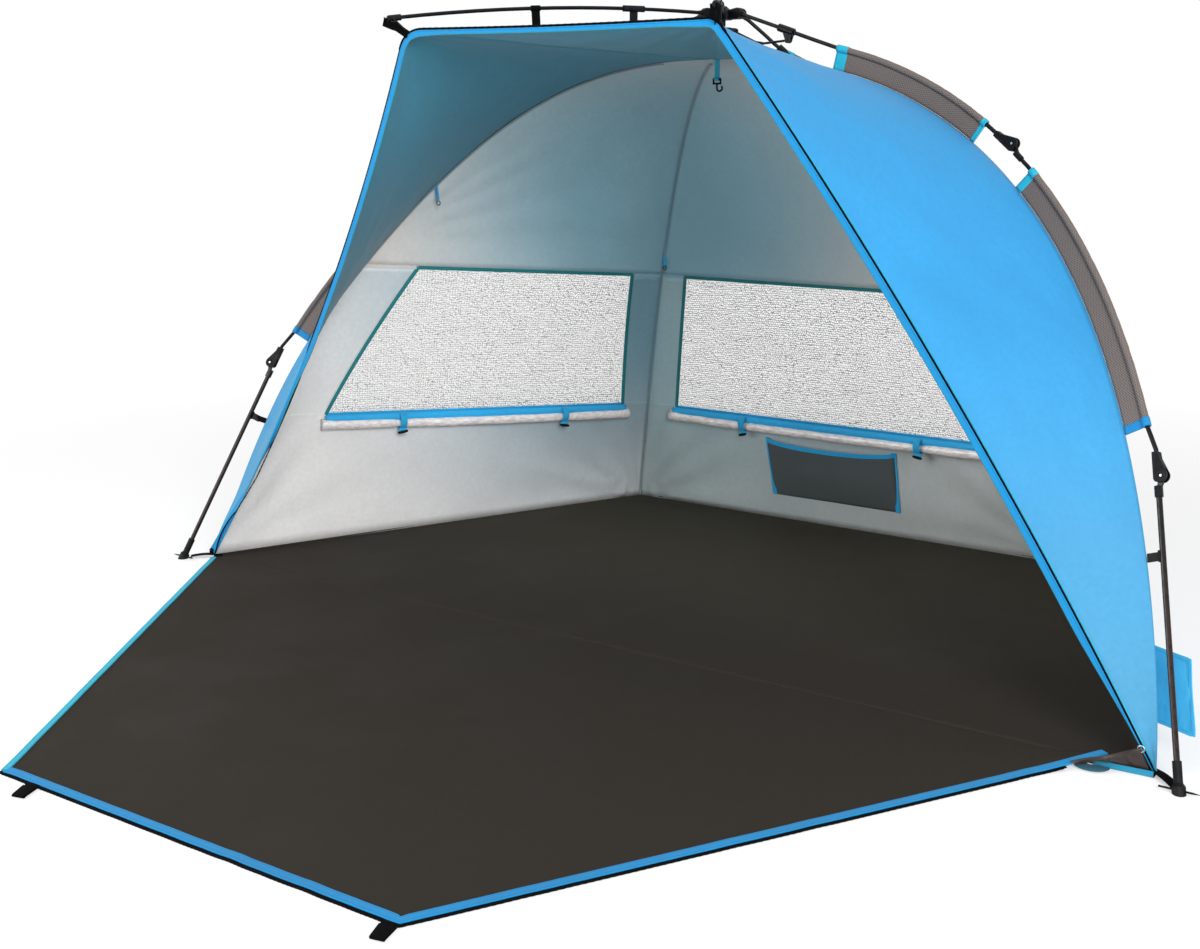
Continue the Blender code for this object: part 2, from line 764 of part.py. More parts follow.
def leg_geometry(name):
    """Pivots, frames and foot of one leg."""
    seam = seam_of(name)
    knee = pole_line(seam, LOWER_KNUCKLE_SHARE)
    if name in SIDES:
        side = SIDES[name]
        foot = Vector((side * (SILL_HALF_WIDTH + FOOT_OUTSET), -SILL_FORWARD - FOOT_FORWARD, 0.0))
    else:
        reach = math.sqrt(lower_leg_length() ** 2 - knee.z ** 2)
        flat = Vector((knee.x, knee.y, 0.0))
        foot = flat + flat.normalized() * reach
    down = (foot - knee).normalized()
    out = outward(seam, LOWER_KNUCKLE_SHARE)
    out = (out - down * out.dot(down)).normalized()
    axis = down.cross(out)
    lower_pivot = knee + out * PIVOT_OFFSET
    lower_frame = frame_matrix(lower_pivot, out, -axis, -down)
    elbow = pole_line(seam, UPPER_KNUCKLE_SHARE)
    step = 1.0 / (2 * COVER_ROW_COUNT)
    above = pole_line(seam, UPPER_KNUCKLE_SHARE + step)
    below = pole_line(seam, UPPER_KNUCKLE_SHARE - step)
    up_axis = (above - elbow).normalized()
    down_axis = (below - elbow).normalized()
    upper_out = outward(seam, UPPER_KNUCKLE_SHARE)
    hinge = down_axis.cross(upper_out).normalized()
    upper_out = up_axis.cross(hinge).normalized()
    up_axis = hinge.cross(upper_out).normalized()
    upper_pivot = elbow + upper_out * PIVOT_OFFSET
    upper_frame = frame_matrix(upper_pivot, upper_out, -hinge, up_axis)
    lug_up = -(down_axis - hinge * down_axis.dot(hinge)).normalized()
    lug_frame = frame_matrix(upper_pivot, lug_up.cross(hinge), -hinge, lug_up)
    top = pole_line(seam, UPPER_SLEEVE_SHARES[0])
    azimuth = math.atan2(top.y - HUB_SETBACK, top.x)
    return {
        "seam": seam, "foot": foot, "down": down, "lower_frame": lower_frame, "upper_frame": upper_frame,
        "lug_frame": lug_frame, "azimuth": azimuth, "top": top,
    }


def lower_leg_length():
    """Knee to foot of the side legs; the back legs use the same tube."""
    seam = seam_of("right")
    knee = pole_line(seam, LOWER_KNUCKLE_SHARE)
    foot = Vector((SILL_HALF_WIDTH + FOOT_OUTSET, -SILL_FORWARD - FOOT_FORWARD, 0.0))
    return (foot - knee).length


LEGS = {name: leg_geometry(name) for name in LEG_NAMES}


def smooth_path(points, steps):
    """A Catmull-Rom curve through the points."""
    ends = [points[0] * 2 - points[1]] + list(points) + [points[-1] * 2 - points[-2]]
    path = []
    for i in range(1, len(ends) - 2):
        a, b, c, d = ends[i - 1:i + 3]
        for k in range(steps):
            t = k / steps
            path.append(0.5 * ((2 * b) + (c - a) * t + (2 * a - 5 * b + 4 * c - d) * t * t
                               + (3 * b - a - 3 * c + d) * t ** 3))
    path.append(points[-1])
    return path


# Knuckles

def knuckle_outline():
    """Side view of the housing, in (out, up) from the pivot: a teardrop with a socket on top."""
    half = POLE_RADIUS + KNUCKLE_WALL
    top = KNUCKLE_LENGTH
    inner = -PIVOT_OFFSET - half
    outer = -PIVOT_OFFSET + half
    outline = [(inner, top), (inner, -KNUCKLE_HEEL_DROP / 2), (inner + half / 2, -KNUCKLE_HEEL_DROP)]
    outline += arc((0.0, 0.0), KNUCKLE_NOSE_RADIUS, -105.0, 25.0, 9)
    outline += [(outer + half / 4, top * 0.72), (outer, top)]
    return outline


def knuckle_housing():
    """Housing with its pole socket, slot and rivet. Its origin is the pivot."""
    housing = block("housing", knuckle_outline(), KNUCKLE_THICKNESS, "plastic_black")
    bm = bmesh.new()
    bm.from_mesh(housing.data)
    bmesh.ops.bevel(bm, geom=list(bm.edges), offset=CHAMFER, segments=1, affect="EDGES",
                    clamp_overlap=True)
    bm.to_mesh(housing.data)
    bm.free()
    socket_bottom = KNUCKLE_LENGTH - SOCKET_DEPTH
    socket = rod("socket", (-PIVOT_OFFSET, 0, socket_bottom), (-PIVOT_OFFSET, 0, KNUCKLE_LENGTH + OVERRUN),
                 POLE_RADIUS + GAP)
    reach = KNUCKLE_NOSE_RADIUS + PIVOT_OFFSET + KNUCKLE_LENGTH
    slot = block("slot", [(-reach, KNUCKLE_SLOT_TOP), (-reach, -reach), (reach, -reach),
                          (reach, KNUCKLE_SLOT_TOP)], KNUCKLE_SLOT, "plastic_black")
    cut(housing, socket, slot)
    half = KNUCKLE_THICKNESS / 2 + CHAMFER
    rivet = rod("rivet", (0, -half, 0), (0, half, 0), PIN_RADIUS, sides=12)
    unite(housing, rivet)
    mesh = housing.data
    bpy.data.objects.remove(housing, do_unlink=True)
    return mesh


def add_lug(piece, frame, radius, tool_name):
    """Adds the flat lug and collar that turn in a knuckle's slot to a pole that starts below it."""
    gauge = KNUCKLE_SLOT - 2 * GAP
    outline = arc((0.0, 0.0), LUG_RADIUS, 60.0, -60.0, 8)
    foot_up = -COLLAR_DROP - COLLAR_LENGTH / 2
    outline += [(-PIVOT_OFFSET + radius * 0.6, foot_up), (-PIVOT_OFFSET - radius * 0.6, foot_up)]
    outline += arc((0.0, 0.0), LUG_RADIUS, 200.0, 80.0, 6)
    lug = block(tool_name + "_lug", outline, gauge, "pole_black", frame)
    collar_top = Vector((-PIVOT_OFFSET, 0, -COLLAR_DROP))
    collar_foot = Vector((-PIVOT_OFFSET, 0, -COLLAR_DROP - COLLAR_LENGTH))
    collar = rod(tool_name + "_collar", frame @ collar_top, frame @ collar_foot, radius + COLLAR_WALL)
    unite(piece, collar, lug)
    half = KNUCKLE_THICKNESS
    bore = rod(tool_name + "_bore", frame @ Vector((0, -half, 0)), frame @ Vector((0, half, 0)),
               PIN_RADIUS + GAP, sides=12)
    cut(piece, bore)


def make_knuckles(name, mesh):
    leg = LEGS[name]
    place("upper_knuckle_" + name, mesh, leg["upper_frame"])
    place("lower_knuckle_" + name, mesh, leg["lower_frame"])


# Poles

def flexed_line(start_points, seam, shares):
    """Axis points of a flexed pole: its straight start and then the seam's curve in the sleeve."""
    steps = SLEEVE_STEP_COUNT
    middle = []
    for k in range(steps + 1):
        share = shares[0] + (shares[1] - shares[0]) * k / steps
        middle.append(pole_line(seam, share))
    return smooth_path(start_points + middle, 2)


def hub_eye(azimuth, reach, height):
    return Vector((math.cos(azimuth) * reach, HUB_SETBACK + math.sin(azimuth) * reach, height))


def make_upper_pole(name):
    """From its eye at the hub, through the strut bracket and the upper sleeve, to the elbow."""
    leg = LEGS[name]
    seam = leg["seam"]
    eye = hub_eye(leg["azimuth"], HUB_ARM_REACH, HUB_HEIGHT + HUB_ARM_RISE)
    heading = (leg["top"] - eye).normalized()
    begin = eye + heading * (HUB_EYE_RADIUS + LINK_CLEARANCE)
    frame = leg["upper_frame"]
    mouth = frame @ Vector((-PIVOT_OFFSET, 0, KNUCKLE_LENGTH + POLE_RADIUS))
    seat = frame @ Vector((-PIVOT_OFFSET, 0, KNUCKLE_LENGTH - SOCKET_DEPTH + GAP))
    points = flexed_line([begin, begin.lerp(leg["top"], 0.5)], seam, UPPER_SLEEVE_SHARES)
    points = points + [mouth.lerp(points[-1], 0.35), mouth, seat]
    mesh = finish_bmesh(sweep(points, [POLE_RADIUS] * len(points)), "upper_pole_" + name, "pole_black")
    pole = place("upper_pole_" + name, mesh)
    side = Vector((-heading.y, heading.x, 0.0)).normalized()
    up = heading.cross(side)
    if up.z < 0:
        up, side = -up, -side
    eye_frame = frame_matrix(eye, heading, side, up)
    outline = arc((0.0, 0.0), HUB_EYE_RADIUS - LINK_CLEARANCE, 35.0, 325.0, 14)
    tail = HUB_EYE_RADIUS + BROW_CAP_LENGTH / 2
    outline += [(tail, -POLE_RADIUS * 0.8), (tail, POLE_RADIUS * 0.8)]
    lug = block("eye", outline, LINK_GAUGE, "pole_black", eye_frame)
    unite(pole, lug)
    half = HUB_CHEEK * 3
    cut(pole, rod("eye_bore", eye - side * half, eye + side * half, PIN_RADIUS + GAP, sides=12))
    add_bracket(pole, leg)


def bracket_places(leg):
    eye = hub_eye(leg["azimuth"], HUB_ARM_REACH, HUB_HEIGHT + HUB_ARM_RISE)
    heading = (leg["top"] - eye).normalized()
    centre = eye + heading * (BRACKET_REACH - HUB_ARM_REACH)
    side = Vector((-heading.y, heading.x, 0.0)).normalized()
    up = heading.cross(side)
    if up.z < 0:
        up, side = -up, -side
    clevis = centre + heading * (BRACKET_LENGTH * 0.30) - up * BRACKET_CLEVIS_DROP
    return centre, heading, side, up, clevis


def add_bracket(pole, leg):
    """The saddle on the upper pole with the two cheeks that hold the strut."""
    centre, heading, side, up, clevis = bracket_places(leg)
    half = heading * (BRACKET_LENGTH / 2)
    saddle = rod("saddle", centre - half, centre + half, BRACKET_RADIUS, sides=12)
    unite(pole, saddle)
    frame = frame_matrix(clevis, heading, side, up)
    eye_radius = RUNNER_EYE_RADIUS
    outline = arc((0.0, 0.0), eye_radius, 180.0, 360.0, 8)
    outline += [(eye_radius, BRACKET_CLEVIS_DROP), (-BRACKET_LENGTH * 0.55, BRACKET_CLEVIS_DROP)]
    slot = LINK_GAUGE + 2 * LINK_CLEARANCE
    offset = (slot + BRACKET_CHEEK) / 2
    for sign in (-1.0, 1.0):
        cheek = block("cheek", outline, BRACKET_CHEEK, "plastic_black",
                      frame @ Matrix.Translation((0, sign * offset, 0)))
        unite(pole, cheek)
    width = side * (slot / 2 + BRACKET_CHEEK + CHAMFER)
    unite(pole, rod("strut_pin", clevis - width, clevis + width, PIN_RADIUS, sides=12))


def make_middle_pole(name):
    """From the elbow, through the lower sleeve, to the knee."""
    leg = LEGS[name]
    seam = leg["seam"]
    start = leg["lug_frame"]
    begin = start @ Vector((-PIVOT_OFFSET, 0, -COLLAR_DROP - COLLAR_LENGTH / 2))
    after = start @ Vector((-PIVOT_OFFSET, 0, -COLLAR_DROP - 1.5 * COLLAR_LENGTH))
    frame = leg["lower_frame"]
    mouth = frame @ Vector((-PIVOT_OFFSET, 0, KNUCKLE_LENGTH + POLE_RADIUS))
    seat = frame @ Vector((-PIVOT_OFFSET, 0, KNUCKLE_LENGTH - SOCKET_DEPTH + GAP))
    points = flexed_line([after], seam, LOWER_SLEEVE_SHARES)
    points = [begin] + points + [mouth, seat]
    mesh = finish_bmesh(sweep(points, [POLE_RADIUS] * len(points)), "middle_pole_" + name, "pole_black")
    pole = place("middle_pole_" + name, mesh)
    add_lug(pole, start, POLE_RADIUS, "middle")


def make_lower_leg(name):
    """The lower tube with its lug, and the foot with its ground pin."""
    leg = LEGS[name]
    frame = leg["lower_frame"]
    length = lower_leg_length()
    top = Vector((-PIVOT_OFFSET, 0, -COLLAR_DROP - COLLAR_LENGTH / 2))
    tip = Vector((-PIVOT_OFFSET, 0, -length + FOOT_SEAT_HEIGHT + GAP))
    tube = rod("lower_tube_" + name, top, tip, TUBE_RADIUS, "tube_bronze", sides=12)
    tube.matrix_world = frame
    add_lug(tube, frame, TUBE_RADIUS, "lower")
    tube.data.materials.clear()
    tube.data.materials.append(material("tube_bronze"))
    make_foot(name, leg, frame, length)


def make_foot(name, leg, frame, length):
    outer = TUBE_RADIUS + GAP + FERRULE_WALL
    top = -length + FERRULE_LENGTH
    neck = -length + FERRULE_FLARE_LENGTH + TUBE_RADIUS
    base = -length - 2 * TUBE_RADIUS
    points = [Vector((-PIVOT_OFFSET, 0, z)) for z in (top, neck, neck - FERRULE_FLARE_LENGTH / 2, base)]
    radii = [outer, outer, outer + FERRULE_FLARE, outer + FERRULE_FLARE]
    foot = place("foot_" + name, finish_bmesh(sweep(points, radii, 16), "foot", "plastic_black"), frame)
    seat = frame @ Vector((-PIVOT_OFFSET, 0, -length + FOOT_SEAT_HEIGHT))
    mouth = frame @ Vector((-PIVOT_OFFSET, 0, top + OVERRUN))
    bore = rod("tube_bore", seat, mouth, TUBE_RADIUS + GAP, sides=12)
    cut(foot, bore)
    centre = leg["foot"]
    heading = Vector((centre.x, 0.0, 0.0)).normalized()
    reach = FOOT_PIN_LENGTH / 2
    lift = Vector((0, 0, FOOT_PIN_HEIGHT))
    ends = [centre - heading * reach + lift, centre + heading * (reach - FOOT_PIN_POINT) + lift,
            centre + heading * reach + lift]
    radii = [FOOT_PIN_RADIUS, FOOT_PIN_RADIUS, FOOT_PIN_RADIUS / 4]
    pin = place("ground_pin", finish_bmesh(sweep(ends, radii, 8), "ground_pin", "plastic_black"))
    unite(foot, pin)
    size = FERRULE_LENGTH
    under = [(-size, -size), (size, -size), (size, 0.0), (-size, 0.0)]
    ground = block("ground", under, 2 * size, "plastic_black", Matrix.Translation(centre))
    cut(foot, ground)


# Hub

def arm_cheek(azimuth, reach, eye_radius, root, thickness, height, rise, offset):
    """One cheek of a fork: an arm with a round eye end, beside the fork's middle plane."""
    centre = Vector((0, HUB_SETBACK, height))
    out = Vector((math.cos(azimuth), math.sin(azimuth), 0.0))
    side = Vector((-out.y, out.x, 0.0))
    outline = arc((reach, rise), eye_radius, -90.0, 90.0, 8)
    outline += [(HUB_ARM_START, root - CHAMFER), (HUB_ARM_START, CHAMFER - root)]
    frame = frame_matrix(centre + side * offset, out, side, Vector((0, 0, 1)))
    return block("cheek", outline, thickness, "plastic_black", frame)


def add_forks(body, azimuths, reach, eye_radius, root, height, rise):
    slot = LINK_GAUGE + 2 * LINK_CLEARANCE
    for azimuth in azimuths:
        for sign in (-1.0, 1.0):
            offset = sign * (slot + HUB_CHEEK) / 2
            unite(body, arm_cheek(azimuth, reach, eye_radius, root, HUB_CHEEK, height, rise, offset))
        eye = hub_eye(azimuth, reach, height + rise)
        across = Vector((-math.sin(azimuth), math.cos(azimuth), 0.0)) * (slot / 2 + HUB_CHEEK + CHAMFER)
        unite(body, rod("fork_pin", eye - across, eye + across, PIN_RADIUS, sides=12))


def brow_azimuth(side):
    tip = opening_edge(side, 1.0)
    return math.atan2(tip.y - HUB_SETBACK, tip.x)


def make_hub():
    """The crown that the poles hinge on, with the post that the runner slides on."""
    half = HUB_CORE_HEIGHT / 2
    post_foot = -RUNNER_DROP - RUNNER_HEIGHT
    cap = half + HUB_CAP_HEIGHT
    profile = [
        (0.0, post_foot), (HUB_POST_RADIUS, post_foot), (HUB_POST_RADIUS, -half), (HUB_CORE_RADIUS, -half),
        (HUB_CORE_RADIUS, half), (HUB_CAP_RADIUS, half + HUB_CAP_HEIGHT / 3), (HUB_CAP_RADIUS / 2, cap),
        (0.0, cap),
    ]
    mesh = finish_bmesh(turned(profile), "hub_crown", "plastic_black")
    crown = place("hub_crown", mesh, Matrix.Translation((0, HUB_SETBACK, HUB_HEIGHT)))
    azimuths = [LEGS[name]["azimuth"] for name in LEG_NAMES] + [brow_azimuth(side) for side in SIDES.values()]
    add_forks(crown, azimuths, HUB_ARM_REACH, HUB_EYE_RADIUS, half, HUB_HEIGHT, HUB_ARM_RISE)


def make_runner():
    inner = HUB_POST_RADIUS + GAP
    half = RUNNER_HEIGHT / 2
    profile = [(inner, -half), (RUNNER_RADIUS, -half), (RUNNER_RADIUS, half), (inner, half)]
    mesh = finish_bmesh(turned(profile), "hub_runner", "plastic_black")
    height = HUB_HEIGHT - RUNNER_DROP
    runner = place("hub_runner", mesh, Matrix.Translation((0, HUB_SETBACK, height)))
    azimuths = [LEGS[name]["azimuth"] for name in LEG_NAMES]
    add_forks(runner, azimuths, RUNNER_ARM_REACH, RUNNER_EYE_RADIUS, half, height, 0.0)


def make_strut(name):
    """A cranked link from the runner to the bracket on the upper pole."""
    leg = LEGS[name]
    centre, heading, side, up, far = bracket_places(leg)
    near = hub_eye(leg["azimuth"], RUNNER_ARM_REACH, HUB_HEIGHT - RUNNER_DROP)
    flat = Vector((math.cos(leg["azimuth"]), math.sin(leg["azimuth"]), 0.0))
    back = (BRACKET_REACH - STRUT_KNEE_REACH) / Vector((heading.x, heading.y, 0.0)).length
    under_pole = (centre - heading * back).z - BRACKET_RADIUS - STRUT_KNEE_RADIUS - STRUT_POLE_CLEARANCE
    knee_height = min(far.z - STRUT_KNEE_DROP / 2, under_pole)
    knee = flat * STRUT_KNEE_REACH + Vector((0, HUB_SETBACK, knee_height))
    first = (knee - near).normalized()
    second = (far - knee).normalized()
    begin = near + first * RUNNER_EYE_RADIUS * 0.5
    end = far - second * RUNNER_EYE_RADIUS * 0.5
    points = [begin, knee - first * STRUT_KNEE_RADIUS * 2, knee, knee + second * STRUT_KNEE_RADIUS * 2, end]
    radii = [STRUT_RADIUS, STRUT_RADIUS, STRUT_KNEE_RADIUS, STRUT_RADIUS, STRUT_RADIUS]
    strut = place("strut_" + name, finish_bmesh(sweep(points, radii, 8), "strut_" + name, "pole_black"))
    for eye, toward in ((near, first), (far, -second)):
        across = Vector((-toward.y, toward.x, 0.0)).normalized()
        frame = frame_matrix(eye, toward, across, toward.cross(across))
        ring = arc((0.0, 0.0), RUNNER_EYE_RADIUS - LINK_CLEARANCE, 0.0, 330.0, 11)
        unite(strut, block("ring", ring, LINK_GAUGE, "pole_black", frame))
        half = across * HUB_CHEEK * 3
        cut(strut, rod("ring_bore", eye - half, eye + half, PIN_RADIUS + GAP, sides=12))


# Brow poles

def brow_pole_line(side):
    """Axis points of a brow pole from its eye at the hub to its end cap."""
    azimuth = brow_azimuth(side)
    eye = hub_eye(azimuth, HUB_ARM_REACH, HUB_HEIGHT + HUB_ARM_RISE)
    corner = opening_edge(side, 1.0)
    out = Vector((math.cos(azimuth), math.sin(azimuth), 0.0))
    end = corner + out * BROW_CAP_OUTSET + Vector((0, 0, BROW_CAP_RISE))
    return eye, end, out


def brow_pole_point(side, share):
    eye, end, _ = brow_pole_line(side)
    return eye.lerp(end, share) + Vector((0, 0, 4 * BROW_POLE_BOW * share * (1 - share)))


def make_brow_pole(which):
    side = SIDES[which]
    eye, end, out = brow_pole_line(side)
    steps = 12
    first = (HUB_EYE_RADIUS + LINK_CLEARANCE) / (end - eye).length
    last = 1.0 - (BROW_CAP_LENGTH / 2 + GAP) / (end - eye).length
    points = [brow_pole_point(side, first + (last - first) * k / steps) for k in range(steps + 1)]
    mesh = finish_bmesh(sweep(points, [BROW_POLE_RADIUS] * len(points)), "brow_pole_" + which, "pole_black")
    pole = place("brow_pole_" + which, mesh)
    across = Vector((-out.y, out.x, 0.0))
    heading = (points[0] - eye).normalized()
    frame = frame_matrix(eye, heading, across, heading.cross(across))
    outline = arc((0.0, 0.0), HUB_EYE_RADIUS - LINK_CLEARANCE, 35.0, 325.0, 14)
    tail = HUB_EYE_RADIUS + BROW_CAP_LENGTH / 2
    outline += [(tail, -BROW_POLE_RADIUS * 0.8), (tail, BROW_POLE_RADIUS * 0.8)]
    unite(pole, block("eye", outline, LINK_GAUGE, "pole_black", frame))
    half = across * HUB_CHEEK * 3
    cut(pole, rod("eye_bore", eye - half, eye + half, PIN_RADIUS + GAP, sides=12))
    make_brow_cap(which, side)
    make_brow_clip(which, side)
    make_brow_strap(which, side)


def make_brow_cap(which, side):
    """The pole's end cap with the short strap that draws the brow corner out to it."""
    eye, end, out = brow_pole_line(side)
    run = (end - eye).length
    inner = brow_pole_point(side, 1.0 - BROW_CAP_LENGTH / run)
    outer = brow_pole_point(side, 1.0)
    heading = (outer - inner).normalized()
    points = [inner, outer, outer + heading * BROW_CAP_RADIUS / 2]
    radii = [BROW_CAP_RADIUS, BROW_CAP_RADIUS, BROW_CAP_RADIUS * 0.6]
    cap = place("brow_cap_" + which, finish_bmesh(sweep(points, radii, 12), "brow_cap", "plastic_black"))
    corner = opening_edge(side, 1.0)
    strap_start = outer - heading * BROW_CAP_RADIUS
    reach = corner + out * (CLOTH + GAP)
    along = (reach - strap_start).normalized()
    across = Vector((-out.y, out.x, 0.0))
    frame = frame_matrix(strap_start, along, across, along.cross(across))
    length = (reach - strap_start).length
    half = STRAP_THICKNESS / 2
    outline = [(0.0, -half), (length, -half), (length, half), (0.0, half)]
    unite(cap, block("corner_strap", outline, STRAP_WIDTH, "webbing_black", frame))
    depth = BROW_CAP_LENGTH / 2
    cut(cap, rod("cap_bore", inner - heading * OVERRUN, inner + heading * depth, BROW_POLE_RADIUS + 2 * GAP))


def brow_seam_point(side, share):
    """A point on the seam from the brow corner to the apex, below the pole's point at the share."""
    pole = brow_pole_point(side, share)
    corner = opening_edge(side, 1.0)
    apex = Vector((0, 0, APEX_HEIGHT))
    along = (corner - apex)
    reach = Vector((pole.x, pole.y, 0.0)).length / Vector((along.x, along.y, 0.0)).length
    return apex + along * reach


def make_hanger(name, side, share, length, grip, material_name):
    """A ring round the brow pole with a strap that reaches down to the brow's seam."""
    centre = brow_pole_point(side, share)
    heading = (brow_pole_point(side, share + 0.02) - brow_pole_point(side, share - 0.02)).normalized()
    half = heading * (length / 2)
    ring = rod(name, centre - half, centre + half, grip, material_name, sides=12)
    seam = brow_seam_point(side, share)
    drop = centre.z - seam.z - CLOTH
    width = min(length, STRAP_WIDTH) / 2 - CHAMFER
    across = Vector((-heading.y, heading.x, 0.0)).normalized()
    frame = frame_matrix(centre, heading, across, heading.cross(across))
    outline = [(-width, 0.0), (-width, -drop), (width, -drop), (width, 0.0)]
    if frame.col[2].z < 0:
        outline = [(x, -z) for x, z in outline]
    unite(ring, block("strap", outline, STRAP_THICKNESS, material_name, frame))
    bore_half = heading * length
    cut(ring, rod("grip", centre - bore_half, centre + bore_half, BROW_POLE_RADIUS + 2 * GAP, sides=12))
    return ring


def make_brow_clip(which, side):
    make_hanger("brow_clip_" + which, side, BROW_CLIP_SHARE, BROW_CLIP_LENGTH,
                BROW_POLE_RADIUS + STRAP_THICKNESS, "plastic_black")


def make_brow_strap(which, side):
    make_hanger("brow_strap_" + which, side, BROW_STRAP_SHARE, STRAP_WIDTH,
                BROW_POLE_RADIUS + STRAP_THICKNESS * 0.75, "webbing_black")


# Leg straps

def make_leg_strap(name):
    """A cradle on the inner side of the lower tube, with a strap back to the cover."""
    leg = LEGS[name]
    frame = leg["lower_frame"]
    knee = frame @ Vector((-PIVOT_OFFSET, 0, 0))
    foot = leg["foot"]
    share = (knee.z - LEG_STRAP_HEIGHT) / (knee.z - foot.z)
    centre = knee.lerp(foot, share)
    up = frame.col[2].to_3d()
    out = frame.col[0].to_3d()
    axis = frame.col[1].to_3d()
    inner = TUBE_RADIUS + GAP
    outer = inner + LEG_STRAP_GRIP
    cradle = [(-math.cos(a) * outer, math.sin(a) * outer) for a in cradle_angles()]
    cradle += [(-math.cos(a) * inner, math.sin(a) * inner) for a in reversed(cradle_angles())]
    local = frame_matrix(centre, out, up, -axis)
    piece = block("leg_strap_" + name, cradle, STRAP_WIDTH, "plastic_black", local)
    seam = leg["seam"]
    target = seam(centre.z / APEX_HEIGHT)
    toward = target - centre
    toward = (toward - up * toward.dot(up))
    length = toward.length - CLOTH - GAP - SEAM_INSET
    toward.normalize()
    start = inner + LEG_STRAP_GRIP / 2
    half = STRAP_WIDTH / 2 * 0.8
    outline = [(start, -half), (length, -half), (length, half), (start, half)]
    strap_frame = frame_matrix(centre, toward, up.cross(toward), up)
    unite(piece, block("strap", outline, STRAP_THICKNESS, "webbing_black", strap_frame))


def cradle_angles():
    return [math.radians(a) for a in range(-60, 61, 20)]


# Lantern hook

def make_apex_strap():
    """A webbing tab under the apex whose lower end is an eye for the hook."""
    top = APEX_HEIGHT - CLOTH / 2 - GAP
    foot = top - APEX_STRAP_LENGTH
    half = APEX_STRAP_THICKNESS / 2
    eye = APEX_STRAP_EYE_RADIUS + half
    rise = APEX_TAB_REACH * (BROW_HEIGHT - APEX_HEIGHT) / (SILL_FORWARD + BROW_OVERHANG)
    outline = [(-APEX_TAB_REACH, top + rise), (-APEX_TAB_REACH, top + rise - half), (-half, top - half)]
    outline += [(-half, foot + eye)]
    outline += arc((0.0, foot), eye, 140.0, 400.0, 12)
    outline += [(half, foot + eye), (half, top)]
    frame = frame_matrix(Vector((0, 0, 0)), Vector((0, 1, 0)), Vector((-1, 0, 0)), Vector((0, 0, 1)))
    strap = block("apex_strap", outline, APEX_STRAP_WIDTH, "webbing_cyan", frame)
    reach = Vector((APEX_STRAP_WIDTH, 0, 0))
    centre = Vector((0, 0, foot))
    cut(strap, rod("hook_eye", centre - reach, centre + reach, APEX_STRAP_EYE_RADIUS, sides=12))


def make_lantern_hook():
    """A wire hook: a closed ring through the strap's eye, a stem and an open bend."""
    pivot = Vector((0, 0, APEX_HEIGHT - CLOTH / 2 - GAP - APEX_STRAP_LENGTH))
    half = HOOK_RING_WIDTH / 2
    low = -HOOK_RING_HEIGHT
    ring = [Vector((-half, 0, 0)), Vector((half, 0, 0)), Vector((half, 0, low)), Vector((-half, 0, low))]
    ring_mesh = bmesh.new()
    rings = []
    for k in range(4):
        corner = ring[k]
        middle = Vector((0, 0, low / 2))
        diagonal = Vector((math.copysign(1, corner.x), 0, math.copysign(1, corner.z - middle.z)))
        loop = []
        for s in range(8):
            turn = 2 * math.pi * s / 8
            level = Vector((0, math.sin(turn), 0))
            offset = (diagonal * math.cos(turn) + level) * HOOK_WIRE_RADIUS
            loop.append(ring_mesh.verts.new(corner + offset))
        rings.append(loop)
    for k in range(4):
        one, two = rings[k], rings[(k + 1) % 4]
        for s in range(8):
            ring_mesh.faces.new((one[s], one[(s + 1) % 8], two[(s + 1) % 8], two[s]))
    hook = place("lantern_hook", finish_bmesh(ring_mesh, "lantern_hook", "plastic_black"))
    hook.matrix_world = Matrix.Translation(pivot)
    bend = HOOK_BEND_RADIUS
    centre = (bend, low - HOOK_STEM)
    path = [Vector((0, 0, low)), Vector((0, 0, low - HOOK_STEM / 2))]
    path += [Vector((x, 0, z)) for x, z in arc(centre, bend, 180.0, 400.0, 12)]
    wire = place("hook_wire", finish_bmesh(sweep(path, [HOOK_WIRE_RADIUS] * len(path), 8), "hook_wire",
                                           "plastic_black"), Matrix.Translation(pivot))
    unite(hook, wire)


# Whole tent

def main():
    clear_scene()
    for which in ("left", "right", "back"):
        make_wall(which)
        make_shutter(which)
    make_net_pocket()
    make_sand_pocket()
    for which in SIDES:
        make_brow_side(which)
        make_brow_pole(which)
    make_brow_front()
    make_floor()
    make_porch()
    make_hub()
    make_runner()
    housing = knuckle_housing()
    for name in LEG_NAMES:
        make_upper_pole(name)
        make_middle_pole(name)
        make_lower_leg(name)
        make_knuckles(name, housing)
        make_strut(name)
        make_leg_strap(name)
    make_apex_strap()
    make_lantern_hook()


main()
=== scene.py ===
import math
from functools import partial

import bmesh
import bpy
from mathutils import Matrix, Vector, noise


